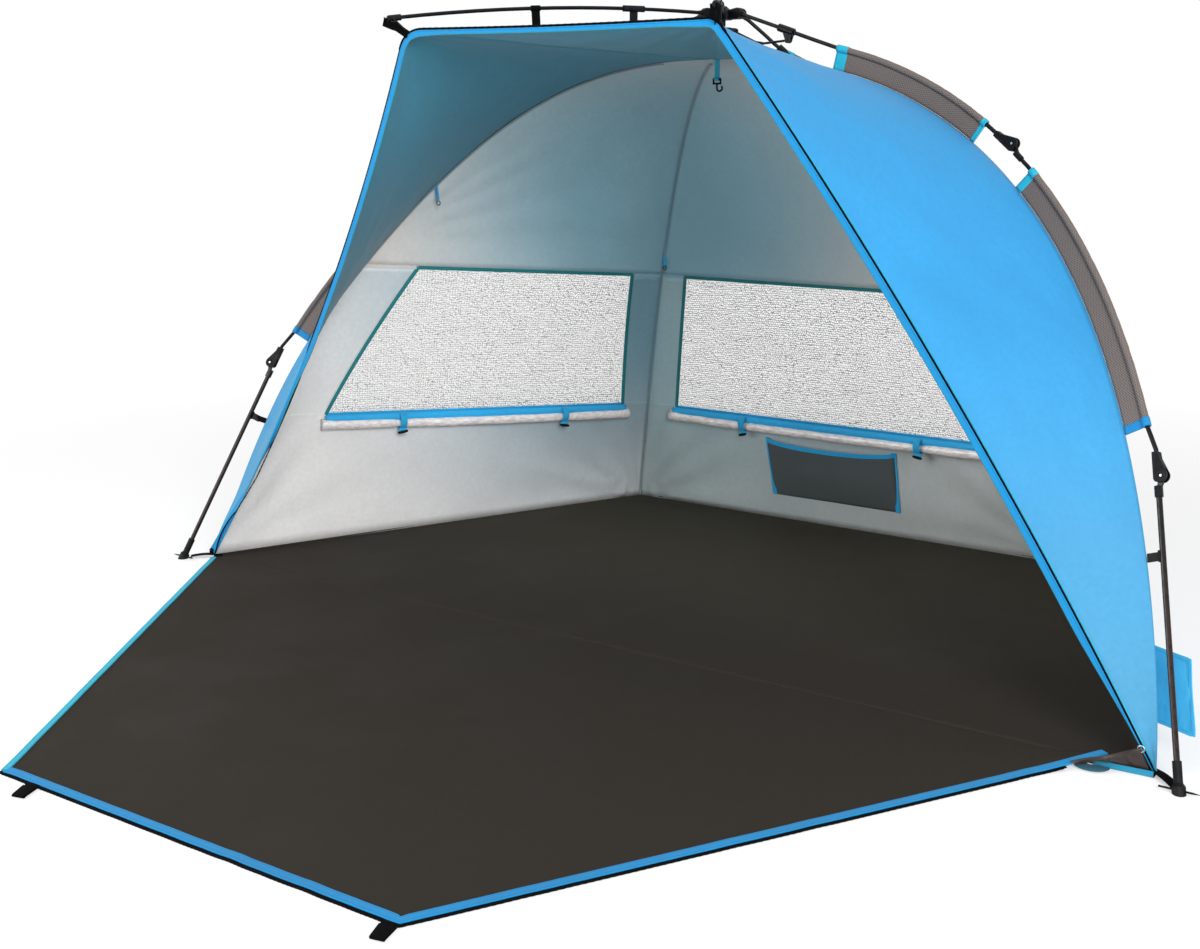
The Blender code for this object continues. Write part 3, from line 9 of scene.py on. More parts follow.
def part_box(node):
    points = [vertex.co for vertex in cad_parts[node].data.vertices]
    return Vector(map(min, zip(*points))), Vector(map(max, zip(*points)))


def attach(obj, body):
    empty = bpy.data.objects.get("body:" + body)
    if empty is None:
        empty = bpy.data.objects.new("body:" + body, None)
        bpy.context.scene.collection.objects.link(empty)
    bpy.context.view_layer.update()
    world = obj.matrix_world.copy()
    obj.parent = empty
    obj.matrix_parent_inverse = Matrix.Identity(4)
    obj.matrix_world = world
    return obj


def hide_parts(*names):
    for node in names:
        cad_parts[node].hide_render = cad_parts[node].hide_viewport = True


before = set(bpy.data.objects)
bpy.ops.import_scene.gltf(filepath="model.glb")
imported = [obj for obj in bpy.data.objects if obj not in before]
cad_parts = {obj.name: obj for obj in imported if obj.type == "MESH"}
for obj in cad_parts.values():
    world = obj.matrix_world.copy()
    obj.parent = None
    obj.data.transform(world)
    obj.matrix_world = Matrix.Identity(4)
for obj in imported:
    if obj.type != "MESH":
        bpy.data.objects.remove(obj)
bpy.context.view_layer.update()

# The looks of a pop-up beach tent. Metres, +Z up, -Y towards the porch, in the same frame as the solids.
# Right is +X. A share goes from 0 at a curve's foot to 1 at the apex, and an across from one seam to the next.

ROOT = "cover_and_frame"

# Sizes shared with the solids
SILL_HALF_WIDTH = 1.2
SILL_FORWARD = 0.490
BACK_HALF_WIDTH = 0.66
BACK_REACH = 0.700
PORCH_HALF_WIDTH = 0.463
PORCH_DEPTH = 1.138
APEX_HEIGHT = 1.240
BROW_HALF_WIDTH = 0.368
BROW_OVERHANG = 0.140
BROW_HEIGHT = 1.288
OPENING_BOW = 0.066
SIDE_ROW_LEAD = 0.88
WINDOW_BOTTOM = 0.245
WINDOW_TOP = 0.558
SIDE_WINDOW_FRONT = (0.151, 0.176)
SIDE_WINDOW_BACK = (0.927, 0.896)
BACK_WINDOW = (0.085, 0.915)
SLEEVE_WIDTH = 0.045
SLEEVE_CENTRE_HEIGHT = 0.350
SLEEVES = ((0.978, 0.859), (0.789, 0.445))
POCKET_WIDTH = 0.385
POCKET_TOP = 0.246
POCKET_BOTTOM = 0.075
POCKET_DEPTH = 0.030
POCKET_SAG = 0.010
UP = Vector((0, 0, 1))
APEX = UP * APEX_HEIGHT
CORNER_REACH = {-1: 0.045, 1: 0.018}
CORNER_DOWN = 0.97
FLOOR_LEVEL = 0.0014
SIDES = ((-1, "left"), (1, "right"))
LEGS = ("right", "left", "back_right", "back_left")
POUCH_WIDTH = 0.092
POUCH_LEAN = (0.026, -0.032)
PORCH_RIGHT_START = 1.088
DRAWN_CORNER = Vector((0.026, 0, 0.016))
FLAP_WIDTH = 0.0135
ROLL_OVERHANG = 0.010
LEFT_FOOT_DRAW = 0.034
STAKE_TABS = {"left": (-0.371, 0.022), "right": (0.450, 0.016)}
TAB_REACH = 0.040
PORCH_BINDING_LEVEL = 0.0022
PORCH_BINDING_THICKNESS = 0.0042
RIVET_HEAD = 0.0006
INNER_LIFT = 0.0009
RING = Vector((1.1745, -0.503, 0.047))

# Thicknesses of cloth
CLOTH = 0.0008
THIN_CLOTH = 0.0006
NET_CLOTH = 0.0005
POCKET_CLOTH = 0.0007
SLEEVE_TAPE = 0.0032
SEAM_TAPE = 0.0016

# Seeds of the creases
WALL_SEEDS = {"left": 11.0, "right": 16.0, "back": 21.0}
SHUTTER_SEEDS = {"left": 31.0, "right": 34.0, "back": 37.0}
BROW_SEEDS = {"left": 51.0, "right": 58.0}
BROW_FRONT_SEED = 71.0

# Angles in degrees above which an edge of a tape or a tube is sharp
TAPE_SHARP = 28
TUBE_SHARP = 50


def rgb(r, g, b):
    """Linear colour from 8-bit screen values."""
    def one(v):
        v /= 255
        return v / 12.92 if v <= 0.04045 else ((v + 0.055) / 1.055) ** 2.4
    return (one(r), one(g), one(b), 1.0)


# Materials

def new_material(name):
    mat = bpy.data.materials.new(name)
    mat.use_nodes = True
    tree = mat.node_tree
    return mat, tree, tree.nodes["Principled BSDF"]


def plug(made, *inputs, **values):
    """Sets a node's properties and inputs, and links those given as sockets. Names take _ for a space."""
    for key, value in (*values.items(), *enumerate(inputs)):
        slot = key.replace("_", " ") if isinstance(key, str) else key
        if isinstance(slot, str) and slot not in made.inputs:
            setattr(made, key, value)
        elif isinstance(value, bpy.types.NodeSocket):
            made.id_data.links.new(value, made.inputs[slot])
        else:
            made.inputs[slot].default_value = value
    return made


def node(tree, kind, *inputs, **values):
    return plug(tree.nodes.new("ShaderNode" + kind), *inputs, **values)


def coords(tree, output="Object", scale=(1, 1, 1), rotation=(0, 0, 0)):
    source = node(tree, "TexCoord").outputs[output]
    return node(tree, "Mapping", Vector=source, Scale=scale, Rotation=rotation).outputs["Vector"]


def map_range(tree, value, low=0.0, high=1.0, to_low=0.0, to_high=1.0, kind="LINEAR"):
    span = node(tree, "MapRange", interpolation_type=kind, Value=value, From_Min=low, From_Max=high,
                To_Min=to_low, To_Max=to_high)
    return span.outputs["Result"]


def noise_factor(tree, vector, scale, detail=3.0, low=0.35, high=0.65):
    texture = node(tree, "TexNoise", Vector=vector, Scale=scale, Detail=detail)
    return map_range(tree, texture.outputs["Fac"], low, high)


def mix_colour(tree, factor, first, second, blend="MIX"):
    mix = node(tree, "Mix", data_type="RGBA", blend_type=blend, Factor=factor, A=first, B=second)
    return mix.outputs["Result"]


def mix_shader(tree, factor, first, second):
    return node(tree, "MixShader", factor, first, second).outputs["Shader"]


def math_node(tree, operation, *values):
    return node(tree, "Math", *values, operation=operation).outputs["Value"]


def touch(tree, base, mask, share, colour):
    """Lets a share of a colour into the base where the mask is."""
    return mix_colour(tree, math_node(tree, "MULTIPLY", mask, share), base, colour)


def set_bump(tree, shader, *layers):
    """Each layer is (height output, strength, distance)."""
    bump = None
    for height, strength, distance in layers:
        under = {"Normal": bump.outputs["Normal"]} if bump else {}
        bump = node(tree, "Bump", Height=height, Strength=strength, Distance=distance, **under)
    plug(shader, Normal=bump.outputs["Normal"])


def shade(value, factor):
    return tuple(min(c * factor, 1.0) for c in value[:3]) + (1.0,)


def tint_base(mat, factor, colour):
    """Multiplies the base colour of a finished material."""
    base = mat.node_tree.nodes["Principled BSDF"].inputs["Base Color"]
    woven = base.links[0].from_socket
    plug(base.node, Base_Color=mix_colour(mat.node_tree, factor, woven, colour, "MULTIPLY"))


def weave_height(tree, pitch):
    """Two crossed sets of yarn ridges, for cloth with UVs in metres."""
    uv = coords(tree, "UV")
    ridges = [node(tree, "TexWave", Vector=uv, Scale=0.5 / pitch, bands_direction=way) for way in ("X", "Y")]
    return math_node(tree, "MULTIPLY", *(ridge.outputs["Fac"] for ridge in ridges))


def cloth_material(name, colour, roughness=0.6, sheen=0.3, pitch=0.0016, tone=0.10, wrinkle=0.35,
                   stitches=(), specular=0.35, painted_crease_shade=0.0):
    """Woven cloth with UVs in metres: yarns, uneven tone, soft creases and rows of stitches."""
    mat, tree, shader = new_material(name)
    blotch = noise_factor(tree, coords(tree), 3.2, 4.0)
    base = mix_colour(tree, blotch, shade(colour, 1 - tone), shade(colour, 1 + tone))
    dark = shade(colour, 0.45)
    # Painted shade: dark streaks along the creases, used for the rolled shutter.
    if painted_crease_shade:
        crease_shade_mask = noise_factor(tree, coords(tree, "UV", (150, 45, 1), (0, 0, 0.5)), 1.0, 4.0, 0.42, 0.62)
        base = touch(tree, base, crease_shade_mask, painted_crease_shade, dark)
    weave = weave_height(tree, pitch)
    base = touch(tree, base, noise_factor(tree, coords(tree), 90.0, 2.0), 0.25, shade(colour, 0.8))
    base = touch(tree, base, weave, 0.12, shade(colour, 1.25))
    for centre, half in stitches:
        base = mix_colour(tree, stitch_mask(tree, centre, half), base, dark)
    rough = map_range(tree, blotch, to_low=max(roughness - 0.08, 0.05), to_high=min(roughness + 0.10, 1.0))
    plug(shader, Base_Color=base, Roughness=rough, Sheen_Weight=sheen, Sheen_Roughness=0.45,
         Specular_IOR_Level=specular)
    crease = noise_factor(tree, coords(tree, "Object", (1.0, 1.0, 0.35), (0.3, 0.5, 0.2)), 9.0, 5.0, 0.2, 0.8)
    set_bump(tree, shader, (weave, 0.25, 0.0002), (crease, wrinkle, 0.006))
    return mat


def lining_with_painted_shade(name, near, far, centre=(-0.55, 0.50, 0.80), span=(0.25, 1.10)):
    """Silver-coated lining with painted shade and painted light: darker and bluer, as shade and light through the
    blue cover, most high up in the left back corner, and painted lighter away from there.
    """
    mat = cloth_material(name, rgb(200, 200, 200), 0.42, 0.08, specular=0.4, tone=0.05, wrinkle=0.55)
    tree = mat.node_tree
    away = node(tree, "VectorMath", coords(tree), centre, operation="DISTANCE").outputs["Value"]
    tint_base(mat, 1.0, (1.72, 1.72, 1.72, 1.0))
    # Painted shade with a blue cast in the near colour around the centre, painted light in the far colour away from
    # it.
    tint_base(mat, 1.0, mix_colour(tree, map_range(tree, away, *span, 1.0, 0.0, "SMOOTHSTEP"), far, near))
    return mat


def stitch_mask(tree, centre, half, pitch=0.004):
    """Dashes along U at a distance V = centre from the tape's edge, half a stitch wide."""
    u, v = split(tree, node(tree, "TexCoord").outputs["UV"])
    row = math_node(tree, "LESS_THAN", math_node(tree, "ABSOLUTE", math_node(tree, "SUBTRACT", v, centre)), half)
    phase = math_node(tree, "FRACT", math_node(tree, "DIVIDE", u, pitch))
    return math_node(tree, "MULTIPLY", row, math_node(tree, "LESS_THAN", phase, 0.68))


def split(tree, vector):
    """The first two parts of a vector."""
    parts = node(tree, "SeparateXYZ", vector).outputs
    return parts["X"], parts["Y"]


def plastic_material(name, colour, roughness=0.5, wear=0.3):
    mat, tree, shader = new_material(name)
    blotch = noise_factor(tree, coords(tree), 40.0, 5.0)
    worn = math_node(tree, "GREATER_THAN", node(tree, "NewGeometry").outputs["Pointiness"], 0.56)
    base = mix_colour(tree, blotch, shade(colour, 0.85), shade(colour, 1.2))
    base = touch(tree, base, worn, math_node(tree, "MULTIPLY", blotch, wear), rgb(44, 44, 46))
    rough = map_range(tree, blotch, to_low=roughness - 0.08, to_high=roughness + 0.14)
    plug(shader, Base_Color=base, Roughness=rough, Specular_IOR_Level=0.14)
    set_bump(tree, shader, (noise_factor(tree, coords(tree), 1400.0, 2.0), 0.15, 0.0002))
    return mat


def along_axis(tree, axis, low, high):
    """Goes from 0 to 1 between two places on an axis of the row frame."""
    place = node(tree, "SeparateXYZ", coords(tree)).outputs[axis]
    return map_range(tree, place, low, high, kind="SMOOTHSTEP")


def cloth_with_painted_light_grade(name, first, second, axis, start, stop, **look):
    """Cloth whose tone goes from the first to the second colour along an axis: a grade of painted light."""
    mat = cloth_material(name, first, **look)
    ratio = tuple(b / a for a, b in zip(first[:3], second[:3])) + (1.0,)
    tint_base(mat, along_axis(mat.node_tree, axis, start, stop), ratio)
    return mat


def pole_material(name, colour, roughness, metallic=0.0, specular=0.35, top_shade=None):
    """Drawn or moulded rod. A top shade darkens the lower tubes towards their knuckles."""
    mat, tree, shader = new_material(name)
    streak = noise_factor(tree, coords(tree, "Object", (1.0, 1.0, 0.08)), 160.0, 4.0)
    base = mix_colour(tree, streak, shade(colour, 0.8), shade(colour, 1.35))
    if top_shade:
        base = mix_colour(tree, along_axis(tree, "Z", 0.22, 0.42), base, top_shade)
    rough = map_range(tree, streak, to_low=roughness - 0.08, to_high=roughness + 0.12)
    plug(shader, Base_Color=base, Roughness=rough, Specular_IOR_Level=specular, Metallic=metallic)
    set_bump(tree, shader, (streak, 0.12, 0.0003))
    return mat


def lattice_holes(tree, pitch, hole, unevenness):
    """One inside the round holes of a staggered lattice, with UVs in metres."""
    cells = coords(tree, "UV", (1 / pitch, 1 / pitch, 1))
    if unevenness:
        drift = node(tree, "TexNoise", Vector=cells, Scale=0.9, Detail=1.0).outputs["Color"]
        moved = node(tree, "VectorMath", drift, operation="SCALE", Scale=unevenness).outputs["Vector"]
        cells = node(tree, "VectorMath", cells, moved, operation="ADD").outputs["Vector"]
    u, v = split(tree, cells)
    shift = math_node(tree, "MULTIPLY", math_node(tree, "MODULO", math_node(tree, "FLOOR", v), 2.0), 0.5)
    squares = []
    for place in (math_node(tree, "ADD", u, shift), v):
        away = math_node(tree, "SUBTRACT", math_node(tree, "FRACT", place), 0.5)
        squares.append(math_node(tree, "MULTIPLY", away, away))
    return math_node(tree, "LESS_THAN", math_node(tree, "ADD", *squares), hole * hole)


def net_material(name, colour, hole_colour, pitch, hole_size, see_through=0.0, through=0.0, unevenness=0.0):
    """Knitted net: threads round a staggered lattice of small holes, which may let light pass."""
    mat, tree, shader = new_material(name)
    hole = lattice_holes(tree, pitch, hole_size, unevenness)
    grain, patch = (noise_factor(tree, coords(tree, "UV"), scale, 3.0, 0.3, 0.7) for scale in (260.0, 14.0))
    thread = mix_colour(tree, grain, shade(colour, 0.86), shade(colour, 1.10))
    thread = touch(tree, thread, patch, 0.35, shade(colour, 1.25))
    # Holes that don't let the view through take a flat colour for what lies behind the net. It is painted shade for
    # the pocket, the dark pole inside plus painted shade for the sleeves, and painted light of the bright backdrop
    # for the window net's small opaque share.
    base = mix_colour(tree, hole, thread, hole_colour)
    plug(shader, Base_Color=base, Roughness=0.8, Specular_IOR_Level=0.2)
    set_bump(tree, shader, (math_node(tree, "SUBTRACT", 1.0, hole), 0.3, 0.0003))
    surface = shader.outputs["BSDF"]
    if through:
        surface = mix_shader(tree, through, surface, node(tree, "BsdfTranslucent", Color=base).outputs["BSDF"])
    if see_through:
        clear = node(tree, "BsdfTransparent").outputs["BSDF"]
        surface = mix_shader(tree, math_node(tree, "MULTIPLY", hole, see_through), surface, clear)
    plug(tree.nodes["Material Output"], Surface=surface)
    return mat


TAPE = {"pitch": 0.0012, "wrinkle": 0.1}
WEBBING = {"pitch": 0.0018, "wrinkle": 0.05}
SHEETING = {"sheen": 0.0, "pitch": 0.0022, "tone": 0.05, "wrinkle": 0.15, "specular": 0.12}
STITCH = 0.0005

# Name of each look, colour, roughness and sheen, and what else differs from plain cloth
CLOTHS = {
    "teal": ("brow_lining", rgb(68, 136, 160), 0.62, 0.08, {"tone": 0.06}),
    # The roll's dark streaks are painted shade in its creases.
    "roll": ("rolled_lining", rgb(250, 242, 240), 0.28, 0.1,
             {"specular": 0.9, "tone": 0.06, "wrinkle": 1.0, "painted_crease_shade": 0.55}),
    "binding": ("blue_binding", rgb(20, 126, 182), 0.75, 0.1,
                {**TAPE, "stitches": ((0.003, STITCH), (0.015, STITCH)), "tone": 0.08, "specular": 0.2}),
    "cyan_tape": ("cyan_tape", rgb(36, 166, 192), 0.75, 0.1,
                  {**TAPE, "stitches": ((0.003, STITCH),), "specular": 0.2}),
    "teal_tape": ("teal_tape", rgb(22, 126, 130), 0.7, 0.3,
                  {**TAPE, "stitches": ((0.003, STITCH), (0.009, STITCH))}),
    "corner_tape": ("corner_tape", rgb(22, 120, 152), 0.7, 0.1, {"pitch": 0.0012, "wrinkle": 0.2}),
    "dark_teal": ("dark_teal_tape", rgb(12, 72, 88), 0.7, 0.1, {"pitch": 0.0012, "wrinkle": 0.2}),
    "strap_blue": ("blue_webbing", rgb(34, 164, 216), 0.75, 0.2, {"pitch": 0.0018, "wrinkle": 0.1}),
    "webbing": ("black_webbing", rgb(7, 7, 8), 0.9, 0.0, {**WEBBING, "specular": 0.06}),
    "apex_strap": ("apex_webbing", rgb(30, 150, 180), 0.75, 0.2, WEBBING),
    "gusset": ("brown_gusset", rgb(36, 23, 17), 0.40, 0.05, {"pitch": 0.0022, "wrinkle": 1.0, "specular": 0.5}),
    "zip": ("zip_tape", rgb(7, 7, 9), 0.85, 0.0, {"pitch": 0.0015, "wrinkle": 0.05, "specular": 0.05}),
    "shutter_blue": ("shutter_blue", rgb(44, 172, 232), 0.60, 0.1, {"wrinkle": 0.8, "specular": 0.3}),
    "binding_plain": ("plain_binding", rgb(24, 120, 174), 0.65, 0.1, {"wrinkle": 0.3, "specular": 0.2}),
    "pouch": ("pouch_cloth", rgb(66, 172, 220), 0.7, 0.1,
              {"pitch": 0.003, "wrinkle": 1.0, "specular": 0.2, "stitches": ((0.006, 0.0006),)}),
}
M = {key: cloth_material(name, colour, rough, sheen, **look)
     for key, (name, colour, rough, sheen, look) in CLOTHS.items()}
M.update({
    # Lit and shaded copies of one silver lining: each wall, the upper parts and the seam tapes get their own
    # painted shade and painted light.
    "silver_left": lining_with_painted_shade("silver_lining_left_painted_light_and_shade", rgb(126, 166, 182), rgb(240, 238, 237)),
    "silver_right": lining_with_painted_shade("silver_lining_right_painted_light_and_shade", rgb(152, 192, 204), rgb(226, 222, 221)),
    "silver_back": lining_with_painted_shade("silver_lining_back_painted_light_and_shade", rgb(166, 198, 205), rgb(194, 200, 199)),
    "silver_high": lining_with_painted_shade("silver_lining_high_painted_light_and_shade", rgb(142, 186, 202), rgb(226, 218, 211),
                                   (-0.40, 0.45, 1.00), (0.25, 0.95)),
    "seam": lining_with_painted_shade("seam_tape_painted_light_and_shade", rgb(118, 152, 164), rgb(158, 161, 163)),
    # Painted light: the blue cover is painted greyer and paler low down and deeper blue high up, as light falls on
    # it.
    "blue": cloth_with_painted_light_grade("blue_cover_painted_light", rgb(70, 140, 178), rgb(50, 142, 198), "Z", 0.10, 0.85,
                         roughness=0.68, sheen=0.06, tone=0.05, wrinkle=0.5, specular=0.2),
    # Painted light: the ground sheet is painted lighter towards the back, inside the tent.
    "floor": cloth_with_painted_light_grade("ground_sheet", rgb(42, 38, 33), rgb(62, 58, 49), "Y", -0.55, 0.60,
                          roughness=0.78, **SHEETING),
    "net": net_material("window_net", rgb(196, 196, 194), rgb(236, 236, 234), 0.0066, 0.44,
                        see_through=0.95, through=0.30, unevenness=1.6),
    # The pocket's and the sleeves' holes are painted dark: painted shade behind the net, and for the sleeves also
    # the black pole inside.
    "pocket_net": net_material("pocket_net", rgb(96, 104, 105), rgb(62, 68, 69), 0.0028, 0.36),
    "sleeve_net": net_material("sleeve_net", rgb(116, 106, 101), rgb(74, 67, 64), 0.0040, 0.34),
    "plastic": plastic_material("black_plastic", rgb(6, 6, 7)),
    "pole": pole_material("black_fibreglass", rgb(6, 6, 7), 0.42, specular=0.18),
    "tube": pole_material("brown_tube", rgb(30, 19, 14), 0.30, 0.25, specular=0.3, top_shade=rgb(9, 7, 6)),
    "metal": pole_material("bright_metal", rgb(178, 176, 172), 0.30, 0.9),
})


# Curves of the cover

def arch_reach(share, power, roundness):
    return (1.0 - min(share, 1.0) ** (1.0 / roundness)) ** (1.0 / power)


def drawn_in(side, share):
    """How far the lower half of the left arch seam is drawn in."""
    return LEFT_FOOT_DRAW * smooth(share, 0.0, 0.15) * (1 - smooth(share, 0.15, 0.50)) if side < 0 else 0.0


def side_seam(side, share):
    reach = arch_reach(share, 2.4, 0.65)
    x = SILL_HALF_WIDTH * reach - drawn_in(side, share)
    return Vector((side * x, -SILL_FORWARD * reach ** 4, APEX_HEIGHT * share))


def back_seam(side, share):
    reach = arch_reach(share, 2.0, 1.0)
    return Vector((side * BACK_HALF_WIDTH * reach, BACK_REACH * reach, APEX_HEIGHT * share))


def opening_edge(side, share):
    bow = 4 * OPENING_BOW * share * (1 - share)
    x = blend(SILL_HALF_WIDTH, BROW_HALF_WIDTH, share)
    return Vector((side * x, -SILL_FORWARD - BROW_OVERHANG * share + bow, BROW_HEIGHT * share))


def corner_point(side, t):
    """The rounded brow corner: t is 0 on the doorway's side, 0.5 at the seam and 1 on the front edge."""
    corner = opening_edge(side, 1.0)
    down = (opening_edge(side, CORNER_DOWN) - corner).normalized()
    start, end = corner + down * CORNER_REACH[side], corner + Vector((-side * CORNER_REACH[side], 0, 0))
    return start * (1 - t) ** 2 + corner * (2 * t * (1 - t)) + end * t ** 2


def corner_share(side):
    """The share of the doorway's side edge where its rounded corner starts."""
    slope = (opening_edge(side, 1.0) - opening_edge(side, 0.97)).length / 0.03
    return 1 - CORNER_REACH[side] / slope


def doorway_edge(side, share):
    """The doorway's side edge up to the seam in the middle of its rounded corner."""
    first = corner_share(side)
    if share <= first:
        return opening_edge(side, share)
    return corner_point(side, 0.5 * (share - first) / (1 - first))


def wall_point(which, across, share):
    if which == "back":
        start, end = back_seam(-1, share), back_seam(1, share)
    else:
        side, lead = (1 if which == "right" else -1), share ** SIDE_ROW_LEAD
        start, end = side_seam(side, lead), back_seam(side, share)
        # Only the strip in front of the window follows the seam inwards.
        start.x += side * drawn_in(side, lead) * smooth(across, 0.0, 0.14)
    return start.lerp(end, across)


def wall_normal(which, across, share):
    """Points into the tent."""
    step = 0.01
    share = min(max(share, 0.012), 0.975)
    along = wall_point(which, across + step, share) - wall_point(which, across - step, share)
    up = wall_point(which, across, share + step) - wall_point(which, across, share - step)
    normal = along.cross(up).normalized()
    here = wall_point(which, across, share)
    return normal if normal.dot(UP * 0.4 - here) > 0 else -normal


def window_sides(which, share):
    if which == "back":
        return BACK_WINDOW
    rise = min(max((share - WINDOW_BOTTOM) / (WINDOW_TOP - WINDOW_BOTTOM), 0.0), 1.0)
    return blend(*SIDE_WINDOW_FRONT, rise), blend(*SIDE_WINDOW_BACK, rise)


def square_to(vector, line):
    """The heading of a vector's part that is square to a line's heading."""
    return (vector - line * vector.dot(line)).normalized()


def left_of(heading):
    return Vector((-heading.y, heading.x, 0))


def blend(first, second, share):
    return first + (second - first) * share


def smooth(value, low, high):
    t = min(max((value - low) / (high - low), 0.0), 1.0)
    return t * t * (3 - 2 * t)


# Mesh helpers

def mesh_object(name, verts, faces, materials, uvs):
    mesh = bpy.data.meshes.new(name)
    mesh.from_pydata([tuple(v) for v in verts], [], faces)
    for mat in materials:
        mesh.materials.append(M[mat])
    layer = mesh.uv_layers.new(name="UVMap")
    for loop in mesh.loops:
        layer.data[loop.index].uv = uvs[loop.vertex_index]
    mesh.shade_smooth()
    mesh.validate()
    made = bpy.data.objects.new(name, mesh)
    bpy.context.scene.collection.objects.link(made)
    return made


def quads(i, j, count, wrap):
    """The corners of the face between rows i and j that starts at each place of a row of count points."""
    return [(i * count + k, i * count + (k + 1) % count, j * count + (k + 1) % count, j * count + k)
            for k in range(count if wrap else count - 1)]


def grid_piece(name, rows, materials, thickness=CLOTH, skip=None, body=ROOT, closed=False):
    """A sheet from rows of points. The first material is on its +normal side, the second on the other."""
    faces = [face for i in range(len(rows) - 1) for k, face in enumerate(quads(i, i + 1, len(rows[0]), closed))
             if not (skip and skip(i, k))]
    piece = mesh_object(name, [p for row in rows for p in row], faces, materials, metric_uvs(rows))
    if skip:
        clean = bmesh.new()
        clean.from_mesh(piece.data)
        bmesh.ops.delete(clean, geom=[v for v in clean.verts if not v.link_faces], context="VERTS")
        clean.to_mesh(piece.data)
        clean.free()
    if thickness:
        solid = piece.modifiers.new("thickness", "SOLIDIFY")
        solid.thickness = thickness
        solid.offset = 0.0
        solid.material_offset = len(materials) - 1
    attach(piece, body)
    return piece


def metric_uvs(rows):
    """UVs in metres, from each point's distance along its row and column."""
    uvs = []
    rise = [0.0] * len(rows[0])
    for i, row in enumerate(rows):
        run = 0.0
        for j, point in enumerate(row):
            if j:
                run += (point - row[j - 1]).length
            if i:
                rise[j] += (point - rows[i - 1][j]).length
            uvs.append((run, rise[j]))
    return uvs


def run_length(points):
    return sum((b - a).length for a, b in zip(points, points[1:]))


def sheet(name, rows, materials, held, rests_on, replaced=None, **form):
    """A sheet from rows of points, with UVs in metres along its rows. It may replace a solid, which it hides."""
    piece = grid_piece(name, rows, materials, **form)
    if replaced:
        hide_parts(replaced)
    return piece


def tangent_at(points, i, reach=1, closed=False):
    """Heading of a line of points at its point i. A closed line goes on at its other end."""
    if closed:
        return (points[(i + reach) % len(points)] - points[i - reach]).normalized()
    return (points[min(i + reach, len(points) - 1)] - points[max(i - reach, 0)]).normalized()


def loft(name, rings, uvs, material, body, closed, sharp):
    """Joins equal rings of points, and caps both ends unless they are joined too."""
    count, last = len(rings[0]), len(rings) - 1
    faces = [face for i in range(last) for face in quads(i, i + 1, count, True)]
    if closed:
        faces += quads(last, 0, count, True)
    else:
        faces += [tuple(range(count - 1, -1, -1)), tuple(range(last * count, (last + 1) * count))]
    piece = mesh_object(name, [p for ring in rings for p in ring], faces, [material], uvs)
    piece.data.set_sharp_from_angle(angle=math.radians(sharp))
    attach(piece, body)
    return piece


def ribbon(name, points, across, width, thickness, material, body=ROOT):
    """A flat tape along points. across gives the tape's width direction at each point; UVs are in metres."""
    thick = thickness / 2
    shape = [(-1, -thick * 0.4), (-0.9, -thick), (0.9, -thick), (1, -thick * 0.4),
             (1, thick * 0.4), (0.9, thick), (0.0, thick), (-0.9, thick), (-1, thick * 0.4)]
    rings, uvs = [], []
    run = 0.0
    for i, point in enumerate(points):
        tangent = tangent_at(points, i)
        run += (point - points[max(i - 1, 0)]).length
        side = across[i] if isinstance(across, list) else across
        side = square_to(side, tangent)
        up = tangent.cross(side)
        half = (width[i] if isinstance(width, list) else width) / 2
        rings.append([point + side * (x * half) + up * z for x, z in shape])
        uvs += [(run, (x + 1) * half) for x, z in shape]
    return loft(name, rings, uvs, material, body, False, TAPE_SHARP)


def tube(name, points, radii, material, sides=12, body=ROOT, closed=False):
    if isinstance(radii, (int, float)):
        radii = [radii] * len(points)
    across = tangent_at(points, 0, 1, closed).orthogonal().normalized()
    rings, uvs = [], []
    run = 0.0
    turns = [2 * math.pi * k / sides for k in range(sides)]
    for i, (point, radius) in enumerate(zip(points, radii)):
        tangent = tangent_at(points, i, 1, closed)
        across = square_to(across, tangent)
        other = tangent.cross(across)
        if i:
            run += (point - points[i - 1]).length
        rings.append([point + (across * math.cos(turn) + other * math.sin(turn)) * radius for turn in turns])
        uvs += [(run, radius * turn) for turn in turns]
    return loft(name, rings, uvs, material, body, closed, TUBE_SHARP)


def ring_tube(name, centre, radius, thickness, material, steps):
    """An upright ring that faces the front."""
    turns = [2 * math.pi * k / steps for k in range(steps)]
    ring = [centre + Vector((math.cos(a) * radius, 0, math.sin(a) * radius)) for a in turns]
    tube(name, ring, thickness, material, 8, closed=True)


def between(start, end, steps):
    """Points on the straight line from start to end."""
    return [start.lerp(end, k / steps) for k in range(steps + 1)]


def wave(x, y, z):
    """Smooth noise, the same each time."""
    return noise.noise(Vector((x, y, z)))


# Creases of stretched cloth

CREASE_MARGIN = 0.07
RAY_COUNT = 14
RAY_FADE = 0.28


def creases(u, v, width, height, seed, corners, soft=0.004, fine=0.0012, rays=0.0018):
    """Height of the creases at a place on a panel, in metres. u and v are shares of width and height."""
    x, y = u * width, v * height
    edge = min(x, width - x, y, height - y)
    fade = smooth(edge, 0.0, CREASE_MARGIN)
    broad = wave(x * 2.2, y * 1.7, seed)
    slant = wave(x * 7.0 + y * 4.0, y * 2.0 - x * 1.0, seed + 3.1)
    small = wave(x * 24.0, y * 15.0, seed + 7.7)
    total = (broad * soft + slant * fine * 1.6 + small * fine * 0.35) * fade
    for cu, cv, strength in corners:
        dx, dy = x - cu * width, y - cv * height
        reach = math.hypot(dx, dy)
        if reach < 0.004:
            continue
        angle = math.atan2(dy, dx)
        ray = math.sin(angle * RAY_COUNT + 3.0 * wave(reach * 2.0, angle * 1.5, seed + cu + cv))
        spread = smooth(reach, 0.0, 0.08) * math.exp(-reach / RAY_FADE)
        total += ray * rays * strength * spread * smooth(edge, 0, 0.02)
    return total


# Walls

ROW_STEPS = 90
WALL_LENGTH = 1.45
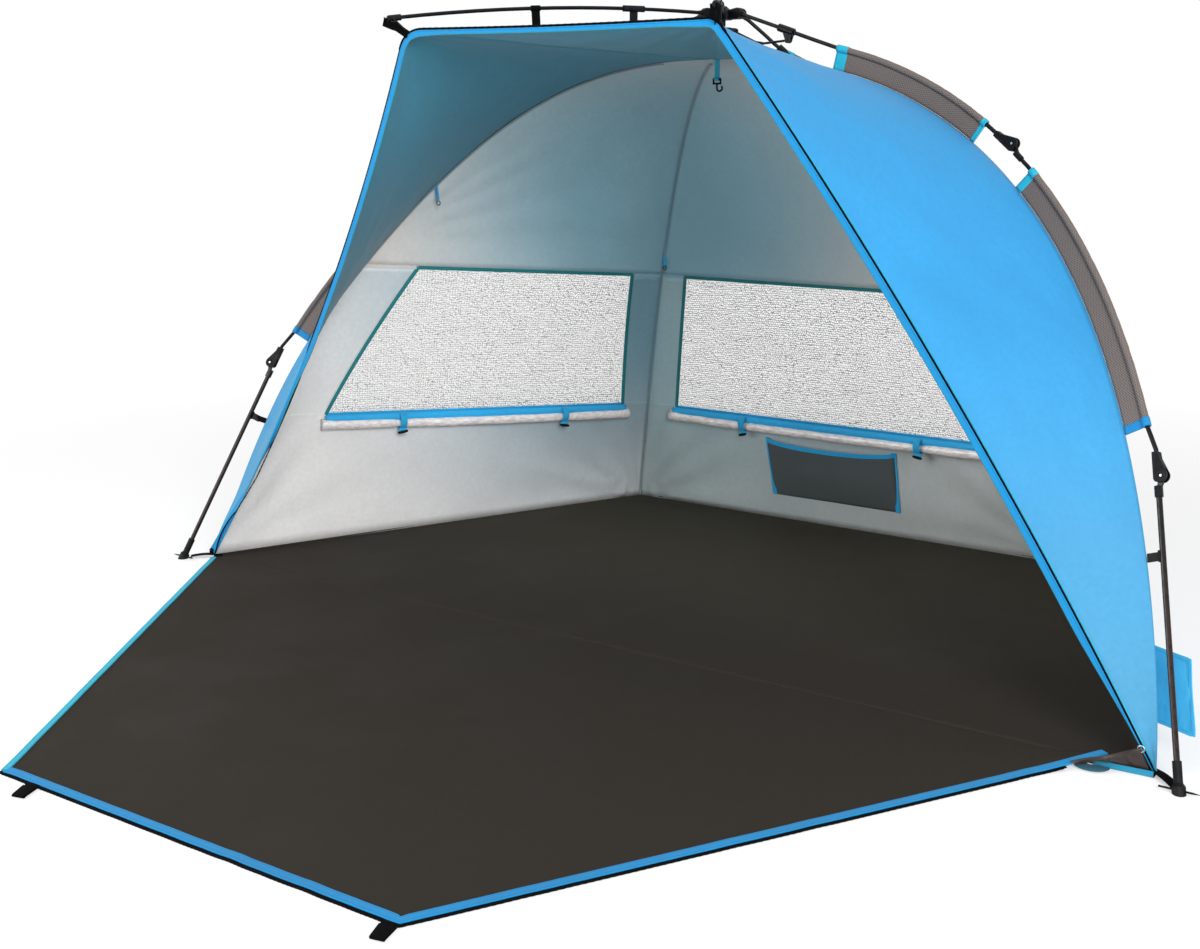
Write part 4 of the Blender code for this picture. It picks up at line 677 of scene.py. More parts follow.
# Where creases fan out from, in shares of a wall's width and length, and how strongly
SIDE_CORNERS = ((0.0, 0.0, 1.0), (1.0, 0.0, 1.6), (0.0, 0.62, 0.6), (1.0, 0.62, 0.6))
BACK_CORNERS = ((0.0, 0.0, 1.6), (1.0, 0.0, 1.6), (0.0, 0.62, 0.5), (1.0, 0.62, 0.5))
EDGE_COLUMNS = 12
WINDOW_COLUMNS = 60


def wall_rows():
    first = 0.0014 / APEX_HEIGHT
    shares = [max(math.sin(math.pi / 2 * k / ROW_STEPS), first) for k in range(ROW_STEPS + 1)]
    shares[-1] = 0.9998
    for edge in (WINDOW_BOTTOM, WINDOW_TOP):
        nearest = min(range(len(shares)), key=lambda k: abs(shares[k] - edge))
        shares[nearest] = edge
    return shares


def wall_columns(low, high):
    first = [low * k / EDGE_COLUMNS for k in range(EDGE_COLUMNS)]
    middle = [low + (high - low) * k / WINDOW_COLUMNS for k in range(WINDOW_COLUMNS)]
    return first + middle + [high + (1 - high) * k / EDGE_COLUMNS for k in range(EDGE_COLUMNS + 1)]


def wall_surface(which, across, share, seed):
    base = wall_point(which, across, share)
    start, end = wall_point(which, 0.0, share), wall_point(which, 1.0, share)
    width = (end - start).length
    corners = BACK_CORNERS if which == "back" else SIDE_CORNERS
    lift = creases(across, share, max(width, 0.05), WALL_LENGTH, seed, corners, rays=0.0046)
    low, high = window_sides(which, share)
    near = max(abs(share - (WINDOW_BOTTOM + WINDOW_TOP) / 2) - (WINDOW_TOP - WINDOW_BOTTOM) / 2, 0.0) * 1.3
    side = max(low - across, across - high, 0.0) * width
    lift *= smooth(max(near, side), 0.0, 0.06)
    return base + wall_normal(which, across, share) * (lift * smooth(1 - share, 0.0, 0.12))


def make_wall(which, seed):
    shares = wall_rows()
    rows = [[wall_surface(which, u, share, seed) for u in wall_columns(*window_sides(which, share))]
            for share in shares]
    rows.append([APEX.lerp(point, 0.03) for point in rows[-1]])
    first, last = shares.index(WINDOW_BOTTOM), shares.index(WINDOW_TOP)
    flip = which != "right"
    if flip:
        rows = [row[::-1] for row in rows]
    start, stop = EDGE_COLUMNS, EDGE_COLUMNS + WINDOW_COLUMNS
    # The lower and the upper part meet at the upper seam. Both are one lining cloth, and the upper part's is
    # painted darker and bluer as shade and light through the blue cover.
    rests_on = ["upper_pole_left", "floor"] if which == "left" else ["floor"]
    sheet(which + "_wall_low", rows[:last + 1], ["blue", "silver_" + which], "stretched", rests_on, which + "_wall",
          skip=lambda i, j: first <= i < last and start <= (start + stop - 1 - j if flip else j) < stop)
    sheet(which + "_wall_high", rows[last:], ["blue", "silver_high"], "stretched", rests_on)
    net_rows = []
    for share in shares[first:last + 1]:
        low, high = window_sides(which, share)
        net_rows.append([wall_surface(which, low + (high - low) * k / 30, share, seed) for k in range(31)])
    net_rows = net_rows[::2] + ([net_rows[-1]] if (last - first) % 2 else [])
    sheet("net_" + which, net_rows, ["net"], "stretched", [which + "_wall_low"], "window_net_" + which,
          thickness=NET_CLOTH)
    tapes_round_window(which, seed)


def wall_tape(name, which, places, width, thickness, material, seed, lift=0.0):
    """A tape on a wall along (across, share) places."""
    normals = [wall_normal(which, u, share) for u, share in places]
    points = [wall_surface(which, u, share, seed) + normal * lift for (u, share), normal in zip(places, normals)]
    spans = [normal.cross(tangent_at(points, i)) for i, normal in enumerate(normals)]
    ribbon(name, points, spans, width, thickness, material)


def tapes_round_window(which, seed):
    steps = 40
    loops = {"foot": [], "head": [], "front": [], "rear": []}
    for t in (k / steps for k in range(steps + 1)):
        for key, share in (("foot", WINDOW_BOTTOM), ("head", WINDOW_TOP)):
            low, high = window_sides(which, share)
            loops[key].append((blend(low, high, t), share))
        share = blend(WINDOW_BOTTOM, WINDOW_TOP, t)
        for key, across in zip(("front", "rear"), window_sides(which, share)):
            loops[key].append((across, share))
    for key, places in loops.items():
        tape = "shutter_blue" if key == "foot" else "teal_tape"
        wall_tape(f"window_tape_{which}_{key}", which, places, 0.0100, 0.0026, tape, seed)
    # The wall's own cross seams, left and right of the window.
    for label, share, cloth in (("low", WINDOW_BOTTOM, which), ("high", WINDOW_TOP, "high")):
        low, high = window_sides(which, share)
        for part, start, end in (("front", 0.004, low - 0.006), ("rear", high + 0.006, 0.996)):
            places = [(start + (end - start) * k / 10, share) for k in range(11)]
            wall_tape(f"cross_seam_{which}_{label}_{part}", which, places, 0.009, SEAM_TAPE, "silver_" + cloth,
                      seed, INNER_LIFT)


# Shutters

STRAP_PLACES = (0.24, 0.78)
ROLL_STEPS = 64
ROLL_TURNS = 6
TURN_STEPS = 18
ROLL_PLACE = 0.0160


def make_shutter(which, seed):
    low, high = window_sides(which, WINDOW_BOTTOM)
    start, end = (wall_point(which, u, WINDOW_BOTTOM) for u in (low - 0.004, high + 0.004))
    normal = wall_normal(which, (low + high) / 2, WINDOW_BOTTOM)
    along = (end - start).normalized()
    normal = square_to(normal, along)
    up = along.cross(normal)
    if up.z < 0:
        up = -up
    length = (end - start).length
    roll_rows, flap_rows = [], []
    for t in (i / ROLL_STEPS for i in range(ROLL_STEPS + 1)):
        run = length * t
        wob = wave(run * 9.0, seed, 0.3)
        fine = wave(run * 38.0, seed, 1.3)
        straps = min(abs(t - place) for place in STRAP_PLACES)
        pinch = 1.0 - 0.28 * math.exp(-(straps / 0.016) ** 2) + 0.16 * smooth(abs(t - 0.5), 0.46, 0.5)
        sag = -0.004 * math.sin(math.pi * t) + 0.0015 * wob
        centre = start + along * (run * (1 + 2 * ROLL_OVERHANG / length) - ROLL_OVERHANG)
        centre += normal * ROLL_PLACE + up * (-0.0215 + sag)
        row = []
        for k in range(ROLL_TURNS * TURN_STEPS + 1):
            turn = 2 * math.pi * k / TURN_STEPS
            radius = (0.0030 + 0.0018 * k / TURN_STEPS) * pinch
            outer = smooth(k, (ROLL_TURNS - 1) * TURN_STEPS, ROLL_TURNS * TURN_STEPS)
            twist = wave(run * 34.0 + turn * 0.8, turn * 0.5, seed + 5)
            ripple = outer * (0.0032 * twist + 0.0014 * fine)
            angle = math.pi / 2 - turn + ROLL_TURNS * 2 * math.pi
            row.append(centre + (normal * math.cos(angle) * 0.92 + up * math.sin(angle)) * (radius + ripple))
        roll_rows.append(row)
        flap = []
        puff = 0.0125 + 0.0020 * wob + 0.0012 * fine
        root = start + along * run + up * 0.001
        for k in range(17):
            angle = math.pi / 2 - math.pi * 1.12 * k / 16
            reach = normal * (0.0022 + puff * (0.55 + 0.75 * math.cos(angle)))
            reach += up * (-0.0085 + 0.0098 * math.sin(angle))
            ripple = 0.0009 * wave(run * 30.0, k * 0.5, seed + 9)
            flap.append(root + reach + normal * (ripple + 0.002 * smooth(k, 8, 16)) + up * sag * k / 16)
        flap_rows.append(flap)
    wall = [which + "_wall_low"]
    sheet("shutter_roll_" + which, roll_rows, ["roll"], "folded", wall, "window_shutter_" + which,
          thickness=THIN_CLOTH)
    sheet("shutter_flap_" + which, flap_rows, ["shutter_blue"], "folded", wall, thickness=THIN_CLOTH)
    for index, t in enumerate(STRAP_PLACES):
        make_shutter_strap(f"{which}_{index}", start + along * length * t, along, normal, up, seed + index)


def make_shutter_strap(name, root, along, normal, up, seed):
    """A strap round the roll, closed by a small bar toggle that hangs below it."""
    points = []
    for k in range(25):
        angle = math.pi * 0.62 - 2 * math.pi * 0.80 * k / 24
        centre = root + normal * ROLL_PLACE + up * -0.0185
        points.append(centre + normal * (math.cos(angle) * 0.0172) + up * (math.sin(angle) * 0.0205))
    ribbon("shutter_strap_" + name, points, along, 0.018, 0.0016, "strap_blue")
    tail_top = root + normal * 0.026 + up * -0.034
    tail = [tail_top + up * (-0.0024 * k) + normal * (0.0008 * k) for k in range(5)]
    ribbon("strap_tail_" + name, tail, along, [0.014, 0.018, 0.023, 0.024, 0.020], 0.0015, "strap_blue")
    heading = (along + up * (0.30 if seed % 2 else -0.08) + normal * 0.15).normalized()
    centre = tail[-1] + normal * 0.002 + up * -0.001
    tube("toggle_" + name, [centre + heading * (0.014 * s) for s in (-1, -0.85, -0.2, 0.2, 0.85, 1)],
         [0.0014, 0.0032, 0.0040, 0.0040, 0.0032, 0.0014], "plastic", 12)


# Brow

BROW_LENGTH = 1.7
BROW_CORNERS = ((0.0, 0.0, 0.6), (1.0, 0.0, 0.6), (0.0, 1.0, 0.9), (1.0, 0.55, 0.5))
BROW_TOP_LENGTH = 0.64
BROW_TOP_CORNERS = ((0, 0, 1.2), (1, 0, 1.2))


def brow_surface(side, across, share, seed):
    """across runs from the doorway's edge to the leg's seam."""
    start, end = doorway_edge(side, share), side_seam(side, share)
    width = (end - start).length
    step = 0.01
    low, high = max(share - step, 0.0), min(share + step, 0.999)
    up = opening_edge(side, high).lerp(side_seam(side, high), across)
    up -= opening_edge(side, low).lerp(side_seam(side, low), across)
    normal = (end - start).cross(up)
    normal = normal.normalized() if normal.length > 1e-9 else Vector((side, 0, 0))
    if normal.x * side < 0:
        normal = -normal
    lift = creases(across, share, max(width, 0.03), BROW_LENGTH, seed, BROW_CORNERS, 0.007, 0.0026, 0.0030)
    belly = -0.010 * math.sin(math.pi * across) * smooth(share, 0.05, 0.4) * smooth(1 - share, 0.0, 0.25)
    return start.lerp(end, across) + normal * (lift + belly)


def make_brow_side(which, seed):
    side = 1 if which == "right" else -1
    shares = [min(0.0012 + 0.9985 * math.sin(math.pi / 2 * k / 110), 0.9997) for k in range(111)]
    rows = [[brow_surface(side, k / 36, share, seed) for k in range(37)] for share in shares]
    rows.append(between(doorway_edge(side, 1.0), APEX, 36))
    if which == "left":
        rows = [row[::-1] for row in rows]
    sheet("brow_side_" + which, rows, ["blue", "teal"], "stretched", ["brow_cap_" + which, "upper_pole_" + which],
          "brow_" + which)


def brow_front_line():
    """The brow's front edge from the left to the right corner seam, 61 points."""
    left = [corner_point(-1, 0.5 + 0.5 * k / 10) for k in range(10)]
    right = [corner_point(1, 1 - 0.5 * k / 10) for k in range(1, 11)]
    start, end = corner_point(-1, 1.0), corner_point(1, 1.0)
    middle = [p + UP * (-0.003 * math.sin(math.pi * k / 40)) for k, p in enumerate(between(start, end, 40))]
    return left + middle + right


def make_brow_front(seed):
    left, right = doorway_edge(-1, 1.0), doorway_edge(1, 1.0)
    front = brow_front_line()
    rows = []
    for i in range(49):
        share = min(i / 48, 0.9985)
        width = (right - left).length * (1 - share)
        row = []
        for point in front:
            u = (point.x - left.x) / (right.x - left.x)
            chord = left.lerp(right, u)
            lift = creases(u, share, max(width, 0.02), BROW_TOP_LENGTH, seed, BROW_TOP_CORNERS, rays=0.003)
            sag = -0.012 * math.sin(math.pi * u) * smooth(share, 0, 0.3) * (1 - share)
            row.append(chord.lerp(APEX, share) + (point - chord) * (1 - share) ** 2 + UP * (lift + sag))
        rows.append(row)
    sheet("brow_top", rows, ["blue", "teal"], "stretched", ["brow_cap_left", "brow_cap_right"], "brow_front")


def doorway_line():
    """Points round the doorway from the left sill over the brow to the right sill, and their shares of a side."""
    steps, foot = 90, 0.004
    rise = [foot + (corner_share(-1) - foot) * k / steps for k in range(steps)]
    fall = [corner_share(1) + (foot - corner_share(1)) * k / steps for k in range(1, steps + 1)]
    brow = [corner_point(-1, k / 20) for k in range(20)] + brow_front_line()[10:51]
    brow += [corner_point(1, 1 - k / 20) for k in range(1, 21)]
    line = [opening_edge(-1, share) for share in rise] + brow + [opening_edge(1, share) for share in fall]
    return line, rise + [1.0] * len(brow) + fall


def make_brow_edges():
    """A flap of binding, half a zip and a thin piping along the doorway's edge, from sill to sill."""
    line, shares = doorway_line()
    face = Vector((0, -1, 0.1))
    hidden_way = Vector((0.5, 0.85, 0)).normalized()
    flap, centre, widths, coil_line, radii, panel_line, panel = [], [], [], [], [], [], []
    for i, (point, share) in enumerate(zip(line, shares)):
        tangent = tangent_at(line, i)
        inward = tangent.cross(face).normalized()
        side = -1 if point.x < 0 else 1
        on_side = share < 1.0
        into = (side_seam(side, share * 0.98) if on_side else APEX) - point
        into = square_to(into, tangent)
        # Low on the left the flap folds back; its zip crosses it near the foot and lies behind it higher up.
        left = on_side and side < 0
        folded = 1 - smooth(share, 0.10, 0.42) if left else 0.0
        behind = smooth(share, 0.15, 0.18) * (1 - smooth(share, 0.38, 0.46)) if left else 0.0
        shift = 0.0
        if left and share < 0.2:
            shift = 0.009 * (2 * smooth(share, 0.05, 0.16) - 1) * smooth(share, 0.0, 0.05)
        way = (inward * (1 - folded) + (into + inward * 0.12) * folded).normalized()
        width = FLAP_WIDTH * (1 + 0.45 * folded)
        if left:
            width *= 1 - 0.60 * smooth(share, 0.10, 0.18) * (1 - smooth(share, 0.34, 0.46))
        if on_side and side > 0:
            width *= 0.12 + 0.88 * smooth(share, 0.02, 0.20)
        elif not on_side:
            width *= 1 - 0.30 * smooth(BROW_HALF_WIDTH - abs(point.x), 0.01, 0.12)
        ripple = 0.0012 * wave(i * 0.11, 4.0, 0.0)
        flap.append((way + face * ripple * 60).normalized())
        centre.append(point + way * (width / 2 + 0.0006) + face * ripple)
        widths.append(width)
        front = point + inward * (shift - 0.0010) + face * (0.0040 * min(abs(shift) / 0.004, 1.0))
        coil_line.append(front.lerp(point + hidden_way * 0.009, behind))
        radii.append(0.0013 if on_side else 0.0027)
        panel_line.append(point + into * 0.0050)
        panel.append(into)
    ribbon("doorway_binding", centre, flap, widths, 0.0026, "binding")
    ribbon("doorway_piping", panel_line, panel, 0.0016, 0.0026, "cyan_tape")
    ribbon("doorway_zip_tape", coil_line, flap, 0.0040, 0.0012, "zip")
    hem = [p + w * (wide / 2) for p, w, wide in zip(centre, flap, widths)]
    tube("doorway_hem", hem, 0.0010, "teal_tape", 6)
    coil, thick = [], []
    for start, end, radius in zip(coil_line, coil_line[1:], radii):
        coil += [start.lerp(end, k / 3) for k in range(3)]
        thick += [radius, radius + 0.0004, radius]
    tube("doorway_zip_coil", coil, thick, "zip", 6)


def make_corner_straps():
    """Webbing from each brow pole's cap, folded down over its end, to the rounded brow corner."""
    for side, label in SIDES:
        low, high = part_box("brow_cap_" + label)
        tip = Vector((high[0] if side > 0 else low[0], low[1], high[2] - 0.010))
        seam = doorway_edge(side, 1.0)
        points = [tip + Vector((0, 0.004, 0.001)), tip + Vector((0, 0.001, -0.009))]
        points.append(tip.lerp(seam, 0.30) + UP * -0.004)
        points += [tip.lerp(seam, share) for share in (0.55, 0.80, 1.02)]
        ribbon("brow_corner_strap_" + label, points, UP, 0.016, 0.0024, "webbing")


# Seams between the panels

def seam_strip(name, seam, neighbours, depth, material, width, first=0.004):
    """A tape inside a seam, square to the line that halves the angle between its two panels."""
    points, spans = [], []
    for k in range(71):
        share = first + (0.996 - first) * math.sin(math.pi / 2 * k / 70)
        here = seam(share)
        tangent = (seam(min(share + 0.01, 0.999)) - seam(max(share - 0.01, 0.0))).normalized()
        inward = Vector()
        for panel in neighbours:
            into = panel(share) - here
            inward += square_to(into, tangent)
        inward.normalize()
        points.append(here + inward * depth)
        spans.append(tangent.cross(inward))
    ribbon(name, points, spans, width, SEAM_TAPE, material)


def make_seams():
    for side, label in SIDES:
        front, doorway = partial(side_seam, side), partial(opening_edge, side)
        back, other = partial(back_seam, side), partial(back_seam, -side)
        seam_strip("arch_seam_" + label, front, (doorway, back), 0.0040, "seam", 0.0055, 0.035)
        seam_strip("back_seam_" + label, back, (front, other), 0.0040, "seam", 0.0060)
        corner = doorway_edge(side, 1.0)
        line = [corner.lerp(APEX, 0.01 + 0.98 * k / 40) + UP * 0.0020 for k in range(41)]
        heading = (APEX - corner).normalized()
        ribbon("brow_seam_" + label, line, heading.cross(UP), 0.006, 0.0018, "blue")


# Sleeves

HEM_RADIUS = 0.0064
HEM_TURN = 0.985


def seam_of(name):
    return partial(back_seam if "back" in name else side_seam, 1 if "right" in name else -1)


def seam_frame(seam, share):
    tangent = (seam(min(share + 0.008, 1.0)) - seam(share - 0.008)).normalized()
    out = seam(share) - UP * SLEEVE_CENTRE_HEIGHT
    out = square_to(out, tangent)
    return tangent, out


def sleeve_profile(seam, share, swell):
    """Cross-section of a sleeve: a web from the seam, then a hem round the pole."""
    tangent, out = seam_frame(seam, share)
    across = tangent.cross(out)
    foot = seam(share) + out * 0.0008
    centre = seam(share) + out * SLEEVE_WIDTH
    radius = HEM_RADIUS + swell
    points = [p + across * (swell * 1.2) for p in between(foot, centre - out * radius, 8)]
    for k in range(1, 20):
        angle = math.pi - 2 * math.pi * HEM_TURN * k / 19
        points.append(centre + out * (math.cos(angle) * radius) + across * (math.sin(angle) * radius + swell * 1.2))
    return points


def make_sleeves():
    for name in LEGS:
        for index, ends in enumerate(SLEEVES):
            make_sleeve(name, index, *ends)


def make_sleeve(name, index, high, low):
    """A net sleeve round a pole, from a high to a low share of its seam, with a tape at each end."""
    seam = seam_of(name)
    steps = 44
    rows = [sleeve_profile(seam, high + (low - high) * i / steps, 0.0006 * wave(i * 0.6, index, LEGS.index(name)))
            for i in range(steps + 1)]
    pole = ("middle_pole_" if index else "upper_pole_") + name
    piece = sheet(f"sleeve_{name}_{index}", rows, ["sleeve_net"], "stretched", [pole], thickness=THIN_CLOTH)
    length = run_length([row[0] for row in rows])
    for end, start, heading in (("top", high, low - high), ("foot", low, high - low)):
        lowest = index == 1 and end == "foot"
        colour, reach = ("binding_plain", 0.018) if lowest else ("cyan_tape", 0.0145)
        part = [sleeve_profile(seam, start + heading * (reach / length) * i / 6 - heading * 0.002 / length, 0.0)
                for i in range(7)]
        sheet(f"sleeve_tape_{name}_{index}_{end}", part, [colour], "stretched", [piece.name], thickness=SLEEVE_TAPE)


# Ground sheet and porch

def ground_lift(x, y, edge):
    """How far the ground sheet and the porch stand off the ground; both use it, so they meet without a step."""
    lift = wave(x * 3.2, y * 3.0, 2.0) * 0.0017 + wave(x * 8 + y * 7, y * 4, 5) * 0.0009
    return FLOOR_LEVEL + (0.0012 + abs(lift)) * smooth(edge, 0, 0.09)


def make_floor():
    rows = []
    for t in (i / 60 for i in range(61)):
        y, half = blend(-SILL_FORWARD, BACK_REACH, t), blend(SILL_HALF_WIDTH, BACK_HALF_WIDTH, t)
        row = []
        for j in range(81):
            x = -half + 2 * half * j / 80
            row.append(Vector((x, y, ground_lift(x, y, min(half - abs(x), BACK_REACH - y)))))
        # The sheet's sides turn up a little where they are sewn to the walls.
        row.insert(0, row[0] + Vector((0.001, 0, 0.005)))
        row.append(row[-1] + Vector((-0.001, 0, 0.005)))
        rows.append(row)
    rows.append([point + Vector((0, -0.001, 0.005)) for point in rows[-1]])
    sheet("ground_sheet", rows, ["floor"], "laid", [], "floor")
    sill = [Vector((-SILL_HALF_WIDTH + 2 * SILL_HALF_WIDTH * k / 20, -SILL_FORWARD, 0.0003)) for k in range(21)]
    ribbon("sill_tape", sill, Vector((0, 1, 0)), 0.030, 0.0006, "floor")


def porch_edge(side, t):
    """The porch's side edge at a share of its depth from the sill. The right edge's end is drawn up to a ring."""
    start = SILL_HALF_WIDTH if side < 0 else PORCH_RIGHT_START
    point = Vector((side * blend(start, PORCH_HALF_WIDTH, t), -SILL_FORWARD - PORCH_DEPTH * t, 0))
    return point + DRAWN_CORNER * (1 - smooth(t, 0, 0.09)) if side > 0 else point


def make_porch():
    rows = []
    for t in ((i / 80) ** 1.3 for i in range(81)):
        low, high = porch_edge(-1, t), porch_edge(1, t)
        row = []
        for j in range(81):
            point = low.lerp(high, j / 80)
            edge = min(point.x - low.x, high.x - point.x, PORCH_DEPTH * (1 - t))
            rise = high.z * smooth(j / 80, 0.955, 1.0)
            row.append(Vector((point.x, point.y, ground_lift(point.x, point.y, edge) + rise)))
        rows.append(row)
    sheet("porch_sheet", [row[::-1] for row in rows], ["floor"], "laid", [], "porch", body="porch_flap")
    make_porch_edging()
    for label, (x, lean) in STAKE_TABS.items():
        make_stake_tab(label, x, lean)


def make_porch_edging():
    """The binding along three edges of the porch, and the half zip inside it."""
    left_end = steps = 70
    edge = [porch_edge(-1, 0.012 + 0.988 * k / steps) for k in range(steps)]
    edge += between(porch_edge(-1, 1.0), porch_edge(1, 1.0), steps)[:-1]
    edge += [porch_edge(1, 1 - k / steps) for k in range(steps + 1)]
    outline = []
    for k, point in enumerate(edge):
        ripple = wave(k * 0.25, 1.0, 4.0)
        outline.append(point + UP * PORCH_BINDING_LEVEL + Vector((0, 0.0016 * ripple, 0.0005 * abs(ripple))))
    spans = [left_of(tangent_at(outline, i, 2)) for i in range(len(outline))]
    for name, part, inset, width, tape in (
            ("porch_binding_left", slice(0, left_end + 1), 0.004, 0.0125, "cyan_tape"),
            ("porch_binding", slice(left_end, len(outline)), 0.008, 0.019, "binding")):
        inner = [p + s * inset for p, s in zip(outline[part], spans[part])]
        ribbon(name, inner, spans[part], width, PORCH_BINDING_THICKNESS, tape, body="porch_flap")
    # The half zip runs along the front and the right edge, and ends before the drawn-up corner.
    run = slice(left_end, len(outline) - 4)
    edge = [p - s * 0.0040 + UP * -0.0010 for p, s in zip(outline[run], spans[run])]
    ribbon("porch_zip_tape", edge, spans[run], 0.009, 0.0016, "zip", body="porch_flap")
    coil = []
    for i in range(len(edge) - 1):
        coil += [edge[i].lerp(edge[i + 1], k / 3) - spans[left_end + i] * 0.0038 for k in range(3)]
    tube("porch_zip_coil", coil, [0.0014 + 0.0004 * (k % 2) for k in range(len(coil))], "zip", 6, body="porch_flap")


def make_stake_tab(label, x, lean):
    """A folded tab of black webbing, sewn under the porch's front edge, with a hole for a ground pin."""
    front = -SILL_FORWARD - PORCH_DEPTH
    root, tip = Vector((x, front, 0.0014)), Vector((x + lean, front - TAB_REACH - 0.010, 0.0014))
    path = between(root, tip, 10) + [tip + (tip - root) * 0.02 + UP * 0.0016]
    path += [root.lerp(tip, 1 - k / 10) + UP * 0.0030 for k in range(8)]
    widths = [0.030 - 0.0006 * k for k in range(11)] + [0.024] + [0.024 + 0.0006 * k for k in range(8)]
    ribbon("stake_loop_" + label, path, Vector((1, 0.1, 0)), widths, 0.0022, "webbing", body="porch_flap")
    bar = [root.lerp(tip, 0.30) + Vector((s * 0.012, 0, 0.0042)) for s in (-1, 0, 1)]
    ribbon("loop_tack_" + label, bar, Vector((0, 1, 0)), 0.004, 0.0010, "webbing", body="porch_flap")


# Net pocket

def make_net_pocket():
    rows = []
    for rise in (i / 24 for i in range(25)):
        height = blend(POCKET_BOTTOM, POCKET_TOP, rise)
        row = []
        for j in range(41):
            across = 2 * j / 40 - 1
            sag = POCKET_SAG * rise * (1 - across * across)
            share = (height - sag) / APEX_HEIGHT
            wall_share = 0.5 + across * POCKET_WIDTH / 2 / (2 * back_seam(1, share).x)
            normal = wall_normal("back", wall_share, share)
            bulge = math.sqrt(max(1 - across ** 4, 0.0)) * math.sin(math.pi / 2 * min(1.0, 1.6 * rise))
            lift = 0.0012 + POCKET_DEPTH * 0.55 * bulge
            lift += 0.0014 * wave(across * 3, rise * 3, 8.0) * bulge
            row.append(wall_surface("back", wall_share, share, WALL_SEEDS["back"]) + normal * lift)
        rows.append(row)
    sheet("pocket_front", rows, ["pocket_net"], "hung", ["back_wall_low"], "net_pocket", thickness=POCKET_CLOTH)
    borders = {"left": ([row[0] for row in rows], rows[0][40] - rows[0][0]),
               "right": ([row[40] for row in rows], rows[0][0] - rows[0][40]),
               "top": (rows[-1], rows[0][20] - rows[-1][20])}
    for label, (edge, into) in borders.items():
        into = into.normalized()
        out = Vector((0, -0.0008 if label == "top" else -0.0016, 0))
        line = [p + into * 0.005 + out for p in edge]
        ribbon("pocket_binding_" + label, line, into, 0.013, 0.0024, "shutter_blue")
    lean = wall_normal("back", 0.5, rows[0][20].z / APEX_HEIGHT).cross(Vector((1, 0, 0))).normalized()
    lean = lean if lean.z > 0 else -lean
    ribbon("pocket_foot_seam", [p + lean * 0.004 for p in rows[0]], lean, 0.008, 0.0016, "pocket_net")


# Sand pocket

SWELL_FRAMES = 18


def swell(piece, hold, pressure, cap):
    """Blows a closed cloth form up a little with a cloth simulation. hold gives how firmly a point stays."""
    scene = bpy.context.scene
    start = [v.co.copy() for v in piece.data.vertices]
    group = piece.vertex_groups.new(name="hold")
    for vertex in piece.data.vertices:
        group.add([vertex.index], hold(vertex.co), "REPLACE")
    cloth = piece.modifiers.new("cloth", "CLOTH")
    for key, value in (("use_pressure", True), ("uniform_pressure_force", pressure), ("vertex_group_mass", "hold"),
                       ("tension_stiffness", 12.0), ("compression_stiffness", 4.0), ("bending_stiffness", 0.3)):
        setattr(cloth.settings, key, value)
    cloth.settings.effector_weights.gravity = 0.0
    cloth.point_cache.frame_start, cloth.point_cache.frame_end = 1, SWELL_FRAMES
    for number in range(1, SWELL_FRAMES + 1):
        scene.frame_set(number)
    shaped = piece.evaluated_get(bpy.context.evaluated_depsgraph_get()).to_mesh()
    moved = [v.co.copy() for v in shaped.vertices]
    piece.modifiers.remove(cloth)
    for vertex, old, new in zip(piece.data.vertices, start, moved):
        step = new - old
        vertex.co = old + step * min(1.0, cap / max(step.length, 1e-9))
    scene.frame_set(1)


def make_sand_pocket():
    """A flat filled pouch with a hem round three sides, sewn to the wall by its fourth."""
    low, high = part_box("sand_pocket")
    heading = Vector((0.954, -0.299, 0)).normalized()
    side = -left_of(heading)
    top = Vector((low[0] + 0.004, high[1] - 0.002, high[2] - 0.003))
    foot = top + Vector((POUCH_LEAN[0], POUCH_LEAN[1], low[2] - high[2] + 0.009))
    drop = UP * -0.005
    columns, rise = 22, 30
    rows = []
    for t in (i / columns for i in range(columns + 1)):
        ring = []
        for face in (-1, 1):
            for j in range(rise + 1):
                v = j / rise if face < 0 else 1 - j / rise
                point = foot.lerp(top, v) + heading * (POUCH_WIDTH * t) + drop * t
                puff = 0.0034 * max(math.sin(math.pi * v), 0.0) ** 0.6 * max(math.sin(math.pi * t), 0.0) ** 0.5
                puff += 0.0006 * wave(t * 6, v * 6, face + 3.0)
                ring.append(point + side * (face * max(puff, 0.0004)))
        rows.append(ring)
    piece = grid_piece("sand_pouch", rows, ["pouch"], thickness=0, closed=True)
    ends = bmesh.new()
    ends.from_mesh(piece.data)
    bmesh.ops.holes_fill(ends, edges=[e for e in ends.edges if e.is_boundary])
    bmesh.ops.recalc_face_normals(ends, faces=ends.faces)
    ends.to_mesh(piece.data)
    ends.free()
    across = heading * POUCH_WIDTH + drop

    def hold(point):
        u = (point - top).dot(heading) / POUCH_WIDTH
        v = (point.z - foot.z - drop.z * u) / (top.z - foot.z)
        edge = min(u * POUCH_WIDTH, (1 - u) * POUCH_WIDTH, v * 0.13, (1 - v) * 0.13)
        return 1.0 - smooth(edge, 0.006, 0.012)

    swell(piece, hold, 1.6, 0.006)
    piece.data.shade_smooth()
    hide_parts("sand_pocket")
    corners = [foot, foot + across, top + across, top]
    edge = [a.lerp(b, k / 16) for a, b in zip(corners, corners[1:]) for k in range(16)] + [top]
    middle = corners[0].lerp(corners[2], 0.5)
    spans = [(middle - p).normalized() for p in edge]
    inner = [p + s * 0.004 for p, s in zip(edge, spans)]
    ribbon("sand_pouch_hem", inner, spans, 0.009, 0.0030, "pouch")


# Small things on the cover

